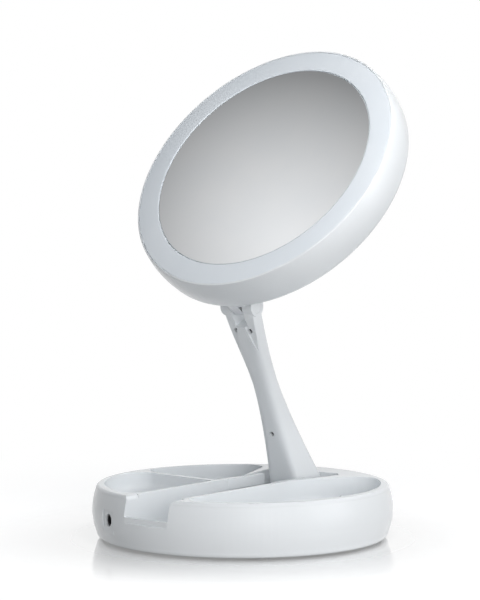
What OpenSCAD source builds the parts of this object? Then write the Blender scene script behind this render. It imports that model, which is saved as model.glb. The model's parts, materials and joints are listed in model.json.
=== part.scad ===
// Folding lighted makeup mirror: a round tray base with compartments, an arm that folds down into
// the channel of the base, and a round lighted head that tips on the fork at the arm's upper end.
// Millimetres. The origin is at the centre of the base, on the table. +Z is up and the user sits at -Y.

/* [Base] */
// Largest diameter of the base, at the middle of its bulge
base_d = 215; // [212:0.5:220]
// Height of the base rim above the table
base_h = 38.8; // [38:0.2:42]
// Height of the widest point of the base above the table
base_bulge_z = 21; // [18:0.5:24]
// Radius of the arc that forms the bulging side of the base
base_bulge_r = 42; // [38:1:60]
// Thickness of the outer wall of the tray
tray_wall = 2.6; // [2:0.1:3]
// Thickness of the walls and floors of the compartments
well_wall = 2; // [1.6:0.1:2.4]
// Width of the flat rim between the outer edge and the compartments
rim_land = 2.9; // [2.4:0.1:4]
// Rounding of the upper outer edge of the tray
rim_edge_r = 3; // [2:0.5:3.5]
// Rounding of the lower outer edge of the tray
foot_edge_r = 4; // [3:0.5:5]
// Depth of the back compartment
back_depth = 14.8; // [12:0.2:16]
// Thickness of the bottom cover
cover_t = 2.4; // [2:0.1:2.6]
// Height of the rubber feet below the tray
foot_h = 1.2; // [1:0.1:1.5]
// Radius of each rubber foot
foot_r = 6; // [4:0.5:7]

/* [Channel and compartments] */
// Width of the channel that takes the folded arm
channel_w = 39; // [37:0.5:41]
// Height of the channel floor above the table
channel_floor_z = 15; // [14:0.2:16]
// Height of the sill of the notch in the rim above the table
sill_z = 24.4; // [22:0.2:26]
// Rounding of the two upper corners of the notch
notch_r = 4; // [2:0.5:6]
// Where the left compartment's back corner meets the channel, along Y
divider_y = -6.6; // [-12:0.2:0]
// Slope of the divider between the left and back compartments, in degrees
divider_slope = 4.8; // [0:0.2:8]
// Thickness of that divider
divider_t = 3; // [2:0.2:4]
// Where the channel starts to widen into the hinge bay, along Y
bay_start_y = 15; // [12:0.5:18]
// Radius of the bend in the right compartment's inner wall
bend_r = 40; // [10:1:60]
// Rounding of the compartments' corners at the front of the rim
front_corner_r = 10; // [4:1:14]
// Rounding of the compartments' other corners at the rim
rim_corner_r = 14; // [6:1:16]
// Rounding of the corners between the divider and the channel
inner_corner_r = 2.5; // [1:0.5:4]
// Half width of the hinge bay at its back
bay_half_w = 31; // [30:0.5:34]
// Where the hinge bay ends, along Y
bay_end_y = 80.6; // [80:0.2:82]
// Height of the hinge bay floor above the table
bay_floor_z = 6.2; // [6:0.1:6.4]
// Where the channel's floor drops to that of the hinge bay, along Y
deep_start_y = -8; // [-12:0.5:-6]
// Height of the two spring tongues beside the folded arm
tongue_h = 7.6; // [6:0.2:9]
// Length of the spring tongues
tongue_l = 33; // [28:0.5:34]
// Thickness of the spring tongues
tongue_t = 1.9; // [1.6:0.1:2.2]

/* [Arm] */
// Distance of the lower hinge axis behind the centre of the base
hinge_y = 67.8; // [67:0.1:68.4]
// Height of the lower hinge axis above the table
hinge_z = 18; // [17.8:0.1:18.4]
// Distance between the lower hinge axis and the tilt axis
arm_l = 162.3; // [161.5:0.1:163]
// How far the open arm leans towards the user, in degrees
arm_lean = 25.1; // [24:0.1:26]
// Half width of the arm at its foot
foot_half_w = 14.6; // [13.6:0.1:14.7]
// Half width of the arm at its waist
waist_half_w = 8.6; // [7.6:0.1:9.6]
// Half width of the arm at the fork
fork_half_w = 14; // [13:0.1:14.5]
// Distance from the waist's front face to the line between the two axes
waist_q = 6.2; // [5.6:0.1:6.4]
// Distance of the waist from the lower hinge axis
waist_s = 100; // [90:1:110]
// Radius of the barrel round the lower hinge
barrel_r = 11.4; // [10.5:0.1:11.5]
// Radius of the fork ends round the tilt axis
fork_r = 7; // [6.6:0.1:7.4]
// Width of the slot between the fork's cheeks
slot_w = 10.8; // [10.4:0.1:12]
// Depth of the slot below the tilt axis
slot_depth = 13; // [11:0.2:15]
// Depth of the two facets round the upper screws
facet_depth = 1.6; // [1:0.1:2]
// Thickness of the arm's rear cover
rear_cover_t = 3; // [2.4:0.1:3.4]

/* [Hinges] */
// Radius of the lower hinge pin
pin_r = 3; // [2.5:0.1:3.2]
// Radius of the tilt pin
tilt_pin_r = 2.5; // [2:0.1:2.6]
// Radial clearance of a pin in its bore
pin_play = 0.04; // [0.02:0.01:0.08]
// Outer radius of the steel bush in the arm's foot
bush_r = 5; // [4.6:0.1:5.4]
// Thickness of each hinge block
block_t = 6; // [5:0.2:7]
// Thickness of the friction washers
washer_t = 0.8; // [0.6:0.1:1]
// Gap on each side of a friction washer
washer_gap = 0.05; // [0.03:0.01:0.1]
// Radius of the knuckle's barrel
knuckle_r = 6.2; // [5.6:0.1:6.4]

/* [Head] */
// Largest radius of the head
head_r = 106.5; // [105:0.5:107]
// Thickness of the head
head_t = 31; // [30:0.2:32]
// Distance of the widest point of the head behind its face
head_bulge_depth = 13; // [11:0.5:15]
// Radius of the arc that forms the bulging side of the head
head_bulge_r = 50; // [40:1:60]
// Rounding of the head's back edge
head_back_r = 8; // [6:0.5:9]
// Rounding of the head's front edge
head_front_r = 0.9; // [0.6:0.1:1]
// Wall thickness of the head shell
head_wall = 2.4; // [2:0.1:2.8]
// Distance of the light ring's edge inside the head's largest radius
ring_inset = 2.9; // [2.7:0.1:3.5]
// Width of the light ring between its outer edge and the mirror glass
ring_band = 16.6; // [13.6:0.5:23.6]
// Thickness of the mirror glass
glass_t = 2.2; // [1.8:0.1:3]
// How far the glass lies below the face of the light ring
glass_sink = 0.5; // [0.3:0.1:1]
// Thickness of the light ring
ring_t = 2.4; // [2:0.1:3]
// Elevation of the direction in which the mirror faces, in degrees
head_tilt = 36.8; // [35:0.1:38]
// Distance of the tilt axis inside the head's largest radius
tilt_inset = 12.3; // [11.7:0.1:12.9]
// Distance of the tilt axis behind the head's back
tilt_back = 11.1; // [10.9:0.1:11.5]
// Height of the pads on the head's back, which rest on the base when the mirror is folded
pad_h = 2.4; // [2:0.1:3]
// Number of light-emitting diodes
led_count = 40; // [24:1:48]

/* [Power] */
// Bearing of the power socket round the base, in degrees from +X
jack_bearing = -112.2; // [-114:0.2:-110]
// Height of the power socket above the table
jack_z = 19.4; // [18.8:0.1:19.6]
// Radius of the opening round the power socket
jack_hole_r = 4.4; // [4:0.1:4.6]
// Width and height of the inset plate round the power socket
plate_size = 16; // [15:0.2:17]
// Bearing of the power button round the base, in degrees from +X
button_bearing = 160; // [156:0.5:164]
// Height of the power button above the table
button_z = 12; // [11.4:0.1:12.4]
// Radius of the power button
button_r = 5; // [4:0.1:5.2]
// How far the power button stands out of the base
button_proud = 0.9; // [0.5:0.1:1.5]
// Travel of the power button
button_travel = 1; // [0.6:0.1:1.2]
// Diameter of an AA cell
cell_d = 14.4; // [14:0.1:14.5]
// Length of an AA cell without its button end
cell_l = 49.2; // [48.6:0.1:49.2]
// Radius of the lamp wires
wire_r = 0.9; // [0.6:0.1:1]

/* [Hidden] */
$fn = 96;

white = "whitesmoke";
steel = "silver";
fit = 0.05;      // clearance between pieces that are screwed or set into each other
skin = 0.3;      // clearance between curved faces
over = 1;        // how far a cut runs past the face it opens
corner_lap = 0.03; // how far a rounded corner of a compartment bites into the walls beside it
bend_lap = 0.2;  // how far a straight length of wire runs into a bend, at most

base_r = base_d / 2;
tray_z = foot_h;
inner_rim_r = barrel_at(base_h - rim_edge_r, base_r, base_bulge_z, base_bulge_r) - rim_edge_r - rim_land;
channel_half = channel_w / 2;
well_x = channel_half + tray_wall;
jack_top = 3.9;
cover_top = tray_z + cover_t;
left_z = jack_z + jack_top + 0.1 + well_wall;
back_z = base_h - back_depth;
right_z = cover_top + 2 * skin + cell_d + well_wall;
flare_y = 34;
flare_turn = 30.7;
back_flare_y = 29;
back_flare_turn = 21.7;
bay_corner = 6;
cover_r = inner_rim_r + 0.5;
cover_screw_ring = base_r - 17.5;
screw_bearings = [26, 88, 141, 236, 318];
foot_ring = base_r - 25.5;
foot_bearings = [45, 135, 225, 315];
boss_r = 3.4;

plate_seat = 2.2;
plate_drop = 1.2;
plate_t = 1.1;
jack_pad_t = 3;
jack_nose_r = jack_hole_r - 0.1;
board_l = 40;
board_w = 28;
board_x = -(base_r - 53.5);
board_y = 26;
board_turn = -20;
board_z = cover_top + 3;
board_off = 2;
board_screw_x = [3 - board_off - board_l / 2, board_l / 2 - board_off - 3];
board_screw_y = [3 - board_w / 2, board_w / 2 - 3];
cell_pitch = cell_d + 0.4;
bay_l = cell_l + 8.6;
bay_w = 4 * cell_pitch + 0.8;
bay_x = (well_x + cover_r - 5.4) / 2;
bay_y = -5;
bay_wall = 1.6;
door_t = 2;
door_peg_r = 0.6;
door_tab_t = 0.8;
door_w = bay_w - 2;
door_l = bay_l - 2;
door_x0 = bay_x - door_l / 2 + skin;
door_z = tray_z + 0.2;
cell_z = cover_top + skin + cell_d / 2;

fork_y = hinge_y - arm_l * sin(arm_lean);
fork_z = hinge_z + arm_l * cos(arm_lean);
pivot_n = head_t + tilt_back;
ring_r = head_r - ring_inset;
glass_r = ring_r - ring_band;
tilt_drop = head_r - tilt_inset;
lamp_board_r = head_r - 5;
face_y = fork_y + tilt_drop * sin(head_tilt) - pivot_n * cos(head_tilt);
face_z = fork_z + tilt_drop * cos(head_tilt) + pivot_n * sin(head_tilt);
block_in = foot_half_w + washer_t + 2 * washer_gap;
block_out = block_in + block_t;
block_flange = 5.9;
knuckle_half = slot_w / 2 - washer_t - 2 * washer_gap;
front_screw_s = arm_l - 16.7;
low_screw_s = 61.6;
upper_screw_l = 6.8;
low_screw_l = 13.4;
screw_dx = 6.25;
carrier_t = 2;
board_n = -15;
button_flange_t = 1.6;
button_stop = barrel_at(button_z - button_r - 1, base_r - tray_wall, base_bulge_z, base_bulge_r - tray_wall) - 0.5;
button_front = barrel_at(button_z, base_r, base_bulge_z, base_bulge_r) + button_proud;
switch_l = 5;
switch_r = button_stop - button_flange_t - button_travel - 0.2;
jack_l = 12;
jack_r = base_r - plate_seat - 0.2 - jack_l;
plate_n = 2;
wire_y = 7.8;
wire_bend = 4 * wire_r;
carrier_top = -glass_sink - glass_t - 0.1;
boss_top = -7;
carrier_screw_r = glass_r - 17;
carrier_screw_count = 6;
rear_low = 20;
rear_top = arm_l - 14.3;
board_t = 1.4;
screw_head_r = 2.6;

// Radius of a bulging side at height z
function barrel_at(z, r, mid, arc) = r - arc + sqrt(arc * arc - (z - mid) * (z - mid));

// Section of a bulging disc with two rounded edges, for rotate_extrude
module barrel_section(r, mid, arc, lo, hi, lo_edge, hi_edge) {
    hi_r = barrel_at(hi - hi_edge, r, mid, arc) - hi_edge;
    lo_r = barrel_at(lo + lo_edge, r, mid, arc) - lo_edge;
    union() {
        intersection() {
            translate([r - arc, mid]) circle(r = arc);
            translate([0, lo + lo_edge]) square([r + over, hi - lo - hi_edge - lo_edge]);
        }
        translate([hi_r, hi - hi_edge]) circle(r = hi_edge);
        translate([lo_r, lo + lo_edge]) circle(r = lo_edge);
        translate([0, lo]) square([lo_r, hi - lo]);
        translate([0, lo + lo_edge]) square([hi_r, hi - lo - lo_edge]);
    }
}

module barrel(r, mid, arc, lo, hi, lo_edge, hi_edge) {
    rotate_extrude($fn = 180) intersection() {
        barrel_section(r, mid, arc, lo, hi, lo_edge, hi_edge);
        translate([0, lo - over]) square([r + over, hi - lo + 2 * over]);
    }
}

// Places children on a radius of the base, turned so that +X points outwards
module on_bearing(bearing, r, z) rotate(bearing) translate([r, 0, z]) children();

function unit(v) = v / norm(v);

// Half of the turn between two directions, in degrees
function half_turn(d, e) = acos(d * e) / 2;

// How much of a straight length the bend between the directions d and e takes
function bend_reach(d, e) = wire_bend * tan(half_turn(d, e));

// Where, from the corner, the straight length beside that bend ends
function rod_end(d, e) = let (reach = bend_reach(d, e)) reach - min(bend_lap, reach / 2);

// A wire from one point to the next along a list, with a rounded bend at each point between
module wire_run(points) {
    last = len(points) - 1;
    ways = [for (i = [0 : last - 1]) unit(points[i + 1] - points[i])];
    // The bends are a touch thicker than the straight lengths, which end inside them
    for (i = [0 : last - 1]) {
        d = ways[i];
        from = i == 0 ? 0 : rod_end(ways[i - 1], d);
        to = norm(points[i + 1] - points[i]) - (i == last - 1 ? 0 : rod_end(d, ways[i + 1]));
        translate(points[i] + d * from) rotate([0, acos(d.z), atan2(d.y, d.x)])
            cylinder(r = wire_r, h = to - from, $fn = 24);
    }
    for (i = [1 : last - 1]) {
        d = ways[i - 1];
        e = ways[i];
        centre = points[i] + unit(e - d) * wire_bend / cos(half_turn(d, e));
        out = unit(points[i] - d * bend_reach(d, e) - centre);
        axis = cross(out, d);
        translate(centre) rotate([atan2(d.z, axis.z), -asin(out.z), atan2(out.y, out.x)])
            rotate_extrude(angle = 2 * half_turn(d, e), $fn = 96)
                translate([wire_bend, 0]) circle(r = wire_r * 1.04, $fn = 24);
    }
}

// A countersunk cross-head screw whose head's top lies at the origin and whose tip points to -Z
module screw(head_r, head_h, shank_r, l) {
    difference() {
        union() {
            translate([0, 0, -head_h]) cylinder(r = head_r, h = head_h, $fn = 32);
            translate([0, 0, -l]) cylinder(r = shank_r, h = l - head_h + fit, $fn = 24);
        }
        for (a = [0, 90]) rotate(a) translate([-head_r * 0.6, -head_r * 0.14, -head_h * 0.5])
            cube([head_r * 1.2, head_r * 0.28, head_h]);
    }
}

// Rounding of radius c in the corner between the rim and a wall, grown by g: its centre, its radius and the
// corner that it takes off. The wall runs through p along u, to the corner, and w points into the room.
// The round is a touch larger than one that would only touch the walls, so that it crosses them.
function rim_corner(p, u, w, c, g) =
    let (q = p + w * c, along = q * u, in = inner_rim_r - c,
        k = q + u * (sqrt(in * in - q * q + along * along) - along), foot = k - w * (c + g + over))
    [k, c + g + corner_lap, [k, foot, foot + u * base_r, k * base_d / norm(k)]];

// The same between two walls that leave the corner p along u and v
function wall_corner(p, u, v, c, g) =
    let (half = acos(u * v) / 2, mid = (u + v) / norm(u + v), k = p + mid * c / sin(half),
        reach = c / tan(half), grow = (c + g + over) / c)
    [k, c + g + corner_lap,
        [k, k + (p + u * reach - k) * grow, p - mid * base_r, k + (p + v * reach - k) * grow]];

// A compartment's outline inside the rim, with its corners rounded
module rounded_room(g, corners) {
    difference() {
        intersection() {
            circle(r = inner_rim_r + g, $fn = 180);
            children();
        }
        for (k = corners) polygon(k[2]);
    }
    for (k = corners) translate(k[0]) circle(r = k[1], $fn = 96);
}

// Outlines of the compartments, grown by g
module left_well(g) {
    inner = [-well_x, divider_y];
    along = [-cos(divider_slope), sin(divider_slope)];
    rounded_room(g, [rim_corner(inner, [0, -1], [-1, 0], front_corner_r, g),
        rim_corner(inner, along, [-sin(divider_slope), -cos(divider_slope)], rim_corner_r, g),
        wall_corner(inner, along, [0, -1], inner_corner_r, g)])
        intersection() {
            translate([-base_d, -base_d]) square([base_d - well_x + g, base_d * 2]);
            translate(inner) rotate(-divider_slope)
                translate([-base_d, -base_d + g]) square([base_d * 2, base_d]);
        }
}

module back_well(g) {
    inner = [-well_x, divider_y + divider_t];
    along = [-cos(divider_slope), sin(divider_slope)];
    flare = [-sin(back_flare_turn), cos(back_flare_turn)];
    bend = [-well_x + g, back_flare_y + g * tan(back_flare_turn / 2)];
    rounded_room(g, [rim_corner(inner, along, [sin(divider_slope), cos(divider_slope)], rim_corner_r, g),
        rim_corner([-well_x, back_flare_y], flare, [-flare.y, flare.x], rim_corner_r, g),
        wall_corner(inner, along, [0, 1], inner_corner_r, g)])
        intersection() {
            translate(inner) rotate(-divider_slope) translate([-base_d, -g]) square([base_d * 2, base_d]);
            polygon([[-base_d, -base_d], [bend.x, -base_d], bend, bend + flare * base_d, [-base_d, base_d]]);
        }
}

module right_well(g) {
    reach = (bend_r + g) * tan(flare_turn / 2);
    flare = [sin(flare_turn), cos(flare_turn)];
    corner = [well_x - g, flare_y + g * tan(flare_turn / 2)];
    before = corner - [0, reach];
    after = corner + flare * reach;
    rounded_room(g, [rim_corner([well_x, flare_y], [0, -1], [1, 0], front_corner_r, g),
        rim_corner([well_x, flare_y], flare, [flare.y, -flare.x], rim_corner_r, g)])
        union() {
            polygon([[before.x, -base_d], before, after, corner + flare * base_d,
                [base_d, base_d], [base_d, -base_d]]);
            intersection() {
                polygon([before, corner, after]);
                translate(before + [bend_r + g, 0]) circle(r = bend_r + g, $fn = 180);
            }
        }
}

module channel_outline(g) {
    translate([-channel_half - g, -base_d]) square([channel_w + 2 * g, base_d + bay_start_y + 4]);
}

module bay_outline(g) {
    translate([-channel_half - g, deep_start_y - g])
        square([channel_w + 2 * g, bay_start_y - deep_start_y + over + 2 * g]);
    polygon([[-channel_half - g, bay_start_y - g], [channel_half + g, bay_start_y - g],
        [bay_half_w + g, bay_end_y - bay_corner], [bay_half_w + g - bay_corner, bay_end_y + g],
        [-bay_half_w - g + bay_corner, bay_end_y + g], [-bay_half_w - g, bay_end_y - bay_corner]]);
}

// The room above the floor of every compartment, the channel and the hinge bay
module open_rooms() {
    translate([0, 0, left_z]) linear_extrude(base_h - left_z + over) left_well(0);
    translate([0, 0, back_z]) linear_extrude(base_h - back_z + over) back_well(0);
    translate([0, 0, right_z]) linear_extrude(base_h - right_z + over) right_well(0);
    translate([0, 0, channel_floor_z]) linear_extrude(base_h - channel_floor_z + over)
        intersection() {
            channel_outline(0);
            circle(r = base_r - tray_wall - 0.6, $fn = 180);
        }
    translate([0, 0, bay_floor_z]) linear_extrude(base_h - bay_floor_z + over) bay_outline(0);
}

// The same rooms with their walls and floors, inside the tray
module room_blocks() {
    intersection() {
        union() {
            translate([0, 0, left_z - well_wall]) linear_extrude(base_h - left_z + well_wall - over)
                left_well(well_wall);
            translate([0, 0, back_z - well_wall]) linear_extrude(base_h - back_z + well_wall - over)
                back_well(well_wall);
            translate([0, 0, right_z - well_wall]) linear_extrude(base_h - right_z + well_wall - over)
                right_well(well_wall);
            translate([0, 0, channel_floor_z - well_wall])
                linear_extrude(base_h - channel_floor_z + well_wall - over) channel_outline(tray_wall);
            translate([0, 0, bay_floor_z - well_wall])
                linear_extrude(base_h - bay_floor_z + well_wall - over) bay_outline(tray_wall);
        }
        translate([0, 0, -over]) cylinder(r = base_r - tray_wall / 2, h = base_h + 2 * over);
    }
}

// The notch in the front of the rim, with rounded upper corners and a flat sill
module notch_cut() {
    reach = 20;
    translate([0, -base_r + reach - 3, 0]) rotate([90, 0, 0]) linear_extrude(reach)
        union() {
            translate([-channel_half, sill_z]) square([channel_w, base_h]);
            for (s = [-1, 1]) difference() {
                translate([s * (channel_half + notch_r / 2 - 0.5), base_h - notch_r / 2 + over / 2])
                    square([notch_r + 1, notch_r + over], center = true);
                translate([s * (channel_half + notch_r), base_h - notch_r]) circle(r = notch_r);
            }
        }
    translate([-channel_half, -base_r - 2, sill_z - 4]) cube([channel_w, 3.6, base_h]);
}

// One spring tongue, which stays joined to the channel wall at its front end
module tongue(side) {
    x0 = channel_half;
    y0 = bay_start_y;
    y1 = y0 + tongue_l;
    translate([0, 0, base_h - tongue_h]) linear_extrude(tongue_h)
        polygon([[side * (x0 + 1.4), y0 - 8], [side * (x0 - 0.4), y0 - 8], [side * (x0 - 2.6), y0 + 2],
            [side * (x0 - 1.4), y1], [side * (x0 - 1.4 + tongue_t), y1],
            [side * (x0 - 2.4 + tongue_t), y0 + 3], [side * (x0 + 1.4), y0 + 1]]);
}

// Pad inside the outer wall, behind the plate of the power socket
module jack_pad() {
    on_bearing(jack_bearing, base_r - plate_seat - jack_pad_t, jack_z - plate_drop)
        translate([0, -plate_size / 2 - 1, -plate_size / 2 - 1])
            cube([jack_pad_t + 1, plate_size + 2, plate_size + 2]);
}

module cover_bosses(r, lo, hi) {
    for (a = screw_bearings) on_bearing(a, cover_screw_ring, lo) cylinder(r = r, h = hi - lo, $fn = 32);
}

module base_tray() {
    color(white) difference() {
        union() {
            difference() {
                barrel(base_r, base_bulge_z, base_bulge_r, tray_z, base_h, foot_edge_r, rim_edge_r);
                difference() {
                    barrel(base_r - tray_wall, base_bulge_z,
                        base_bulge_r - tray_wall, tray_z - 8, base_h - tray_wall, foot_edge_r, rim_edge_r);
                    room_blocks();
                    jack_pad();
                    cover_bosses(boss_r, cover_top, base_h);
                }
                open_rooms();
                notch_cut();
            }
            tongue(-1);
            tongue(1);
        }
        // Seat of the bottom cover
        translate([0, 0, tray_z - over]) cylinder(r = cover_r + fit, h = cover_t + over, $fn = 180);
        // Seat of the socket's plate, and the hole for the socket's nose
        on_bearing(jack_bearing, base_r - plate_seat, jack_z - plate_drop)
            translate([0, -plate_size / 2, -plate_size / 2]) cube([8, plate_size, plate_size]);
        on_bearing(jack_bearing, base_r - plate_seat - jack_pad_t - over, jack_z) rotate([0, 90, 0])
            cylinder(r = jack_nose_r + 0.2, h = 8, $fn = 48);
        // Hole for the power button
        on_bearing(button_bearing, base_r - 12, button_z) rotate([0, 90, 0])
            cylinder(r = button_r + 0.2, h = 20, $fn = 48);
        // Hole for the wire into the hinge bay
        translate([-bay_half_w - 8, hinge_y, hinge_z]) rotate([0, 90, 0])
            cylinder(r = wire_r + 0.5, h = 10, $fn = 24);
        // Pilot holes for the cover's and the hinge blocks' screws
        cover_bosses(1.25 + fit, 0, cover_top + 8);
        hinge_block_holes(1.1 + fit, bay_floor_z - 4);
    }
}

// Places of the screws that hold the hinge blocks
module hinge_block_holes(r, lo) {
    for (s = [-1, 1], dy = [-6, 6])
        translate([s * (block_out + block_flange / 2), hinge_y + dy, lo]) cylinder(r = r, h = 12, $fn = 24);
}

module base_cover() {
    color(white) difference() {
        union() {
            translate([0, 0, tray_z]) cylinder(r = cover_r, h = cover_t, $fn = 180);
            // Walls of the battery box
            translate([bay_x - bay_l / 2 - bay_wall, bay_y - bay_w / 2 - bay_wall, cover_top - fit])
                cube([bay_l + 2 * bay_wall, bay_w + 2 * bay_wall, cell_d + 0.4]);
            // Standoffs of the circuit board
            at_board_screws(cover_top - fit) cylinder(r = 2.4, h = board_z - cover_top + fit, $fn = 24);
            // Post behind the push switch
            on_bearing(button_bearing, switch_r - switch_l - 2.2, cover_top - fit)
                translate([0, -4, 0]) cube([2, 8, button_z + 3 - cover_top]);
        }
        at_board_screws(tray_z + 0.8) cylinder(r = 0.9 + fit, h = 8, $fn = 24);
        translate([bay_x - bay_l / 2, bay_y - bay_w / 2, cover_top])
            cube([bay_l, bay_w, cell_d + over]);
        // Sockets of the battery door's pegs
        translate([door_x0 + door_t / 2, bay_y - door_w / 2 - 2, door_z + door_t / 2]) rotate([-90, 0, 0])
            cylinder(r = door_peg_r + 0.06, h = door_w + 4, $fn = 32);
        // Opening and seat of the battery door
        translate([bay_x - door_l / 2, bay_y - door_w / 2, tray_z - over])
            cube([door_l, door_w, cover_t + 2 * over]);
        // Sunk seats of the feet
        for (a = foot_bearings) on_bearing(a, foot_ring, tray_z - over)
            cylinder(r = foot_r + fit, h = over + 1, $fn = 48);
        // Holes and counterbores of the screws
        cover_bosses(1.4, -over, cover_top + over);
        cover_bosses(screw_head_r + 0.2, -over, tray_z + 1.4);
        // Finger recess beside the door's latch
        translate([bay_x + door_l / 2 - over, bay_y - 8, tray_z - over])
            cube([6, 16, door_z + door_tab_t + 0.2 - tray_z + over]);
    }
}

module cover_screws() {
    color(steel) for (a = screw_bearings) on_bearing(a, cover_screw_ring, tray_z + 0.2)
        rotate([180, 0, 0]) screw(screw_head_r, 1.1, 1.25, 9);
}

module rubber_feet() {
    color("dimgray") for (a = foot_bearings) on_bearing(a, foot_ring, 0)
        cylinder(r = foot_r, h = tray_z + 1, $fn = 48);
}

// The door turns on two pegs at its inner end, which is round, and snaps shut at its outer end
module battery_door() {
    w = door_w - 2 * skin;
    l = door_l - 2 * skin;
    color(white) difference() {
        union() {
            translate([door_x0 + door_t / 2, bay_y - w / 2, door_z]) cube([l - door_t / 2, w, door_t]);
            translate([door_x0 + door_t / 2, bay_y - w / 2, door_z + door_t / 2]) rotate([-90, 0, 0]) {
                cylinder(r = door_t / 2, h = w, $fn = 48);
                translate([0, 0, -1.2]) cylinder(r = door_peg_r, h = w + 2.4, $fn = 32);
            }
            // Latch tab
            translate([door_x0 + l - over, bay_y - 5, door_z]) cube([over + 1.6, 10, door_tab_t]);
        }
        // Grip grooves
        for (i = [0 : 4]) translate([door_x0 + l - 14 + 2 * i, bay_y - 12, door_z - over])
            cube([0.8, 24, over + 0.5]);
    }
}

module battery_cells() {
    for (i = [0 : 3]) {
        flip = i % 2 == 0 ? 1 : -1;
        translate([bay_x - flip * cell_l / 2, bay_y + (i - 1.5) * cell_pitch, cell_z])
            rotate([0, flip * 90, 0]) color("slategray") union() {
                cylinder(r = cell_d / 2, h = cell_l, $fn = 48);
                cylinder(r = 2.7, h = cell_l + 1.2, $fn = 32);
            }
    }
}

// Spring leaves at both ends of the battery box: a back plate with a bowed tongue
module battery_contacts() {
    leaf_t = 0.5;
    leaf_h = 10;
    color(steel) for (end = [-1, 1], i = [0 : 3]) {
        flip = (i % 2 == 0 ? 1 : -1) * end;
        bow = flip > 0 ? 2.2 : 3.2;
        translate([bay_x + end * (bay_l / 2 - leaf_t / 2 - 0.1), bay_y + (i - 1.5) * cell_pitch, cell_z])
            union() {
                cube([leaf_t, 11, leaf_h], center = true);
                translate([-end * bow / 2, 0, 0]) cube([bow, 5, 2.4], center = true);
            }
    }
}

module jack_plate() {
    color(white) on_bearing(jack_bearing, base_r - plate_seat, jack_z) difference() {
        translate([0, -plate_size / 2 + fit, -plate_drop - plate_size / 2 + fit])
            cube([plate_t, plate_size - 2 * fit, plate_size - 2 * fit]);
        translate([-over, 0, 0]) rotate([0, 90, 0]) cylinder(r = jack_hole_r, h = plate_t + 2 * over, $fn = 48);
    }
}

module dc_jack() {
    body_l = jack_l - jack_pad_t;
    color("dimgray") on_bearing(jack_bearing, jack_r, jack_z) difference() {
        union() {
            translate([0, -4.75, -5.4]) cube([body_l, 9.5, 5.4 + jack_top]);
            translate([body_l - 0.8, 0, 0]) rotate([0, 90, 0])
                cylinder(r = jack_nose_r, h = jack_l - body_l + 0.8, $fn = 48);
        }
        translate([1.5, 0, 0]) rotate([0, 90, 0]) cylinder(r = 3.1, h = jack_l, $fn = 48);
        translate([-over, 0, 0]) rotate([0, 90, 0]) cylinder(r = 1.05, h = jack_l, $fn = 24);
    }
}

module jack_pin() {
    color(steel) on_bearing(jack_bearing, jack_r, jack_z)
        translate([-1, 0, 0]) rotate([0, 90, 0]) union() {
            cylinder(r = 1, h = 6.6, $fn = 24);
            translate([0, 0, 6.6]) sphere(r = 1, $fn = 24);
        }
}

// Places children at the circuit board's screws
module at_board_screws(z) {
    translate([board_x, board_y, z]) rotate(board_turn)
        for (x = board_screw_x, y = board_screw_y) translate([x, y, 0]) children();
}

module driver_board() {
    color("seagreen") difference() {
        translate([board_x, board_y, board_z]) rotate(board_turn)
            translate([-board_off - board_l / 2, -board_w / 2, 0]) cube([board_l, board_w, board_t]);
        at_board_screws(board_z - over) cylinder(r = 1.2, h = 4, $fn = 24);
    }
}

module board_screws() {
    color(steel) at_board_screws(board_z + board_t + 1.1) screw(1.8, 1.1, 0.9, 5);
}

module board_parts() {
    color("black") translate([board_x, board_y, board_z + board_t]) rotate(board_turn) {
        translate([-4, -4, 0]) cube([8, 6, 1.6]);
        translate([6, -6, 0]) cube([5, 4, 1.2]);
        translate([2, 6, 0]) cylinder(r = 3, h = 7, $fn = 32);
        translate([-12, 6, 0]) cube([6, 5, 3]);
        translate([-17, -3, 0]) cube([6, 7, 4]);
    }
}

// Push switch behind the power button
module tact_switch() {
    color("black") on_bearing(button_bearing, switch_r - switch_l, button_z) union() {
        translate([0, -3, -3]) cube([3.4, 6, 6]);
        rotate([0, 90, 0]) cylinder(r = 1.6, h = switch_l, $fn = 24);
    }
}

module power_button() {
    color(white) on_bearing(button_bearing, button_stop - button_flange_t, button_z) rotate([0, 90, 0]) union() {
        cylinder(r = button_r + 1, h = button_flange_t, $fn = 48);
        cylinder(r = button_r, h = button_front - button_stop + button_flange_t, $fn = 48);
    }
}

module base_wire() {
    z = board_z + board_t + wire_r + 0.1;
    x = -bay_half_w;
    jack_end = [cos(jack_bearing), sin(jack_bearing), 0] * (jack_r - 1.2);
    color("black") wire_run([[board_x + 10.8, board_y - 1.2, z], [x - 2, board_y + 20, z],
        [x - 5.5, hinge_y - 7.8, hinge_z - 4], [x - 5, hinge_y, hinge_z], [-block_in - 1, hinge_y, hinge_z]]);
    color("black") wire_run([jack_end + [0, 0, jack_z - 3], jack_end + [-8, 30, z],
        [board_x - 4, board_y - 10, z]]);
}

module hinge_blocks() {
    base_t = 3;
    color("lightgray") for (s = [-1, 1]) difference() {
        union() {
            translate([s > 0 ? block_in : -block_out, hinge_y - 10, bay_floor_z])
                cube([block_t, 20, hinge_z - bay_floor_z]);
            translate([s > 0 ? block_in : -block_out, hinge_y, hinge_z]) rotate([0, 90, 0])
                cylinder(r = 7.5, h = block_t, $fn = 64);
            translate([s > 0 ? block_out - fit : -block_out - block_flange, hinge_y - 10, bay_floor_z])
                cube([block_flange + fit, 20, base_t]);
        }
        translate([-base_r, hinge_y, hinge_z]) rotate([0, 90, 0])
            cylinder(r = pin_r + pin_play, h = base_d, $fn = 64);
        hinge_block_holes(1.35, bay_floor_z - 2);
    }
}

module hinge_block_screws() {
    color(steel) for (s = [-1, 1], dy = [-6, 6])
        translate([s * (block_out + block_flange / 2), hinge_y + dy, bay_floor_z + 3 + 1.4])
            screw(2.4, 1.4, 1.1, 6.2);
}

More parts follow.
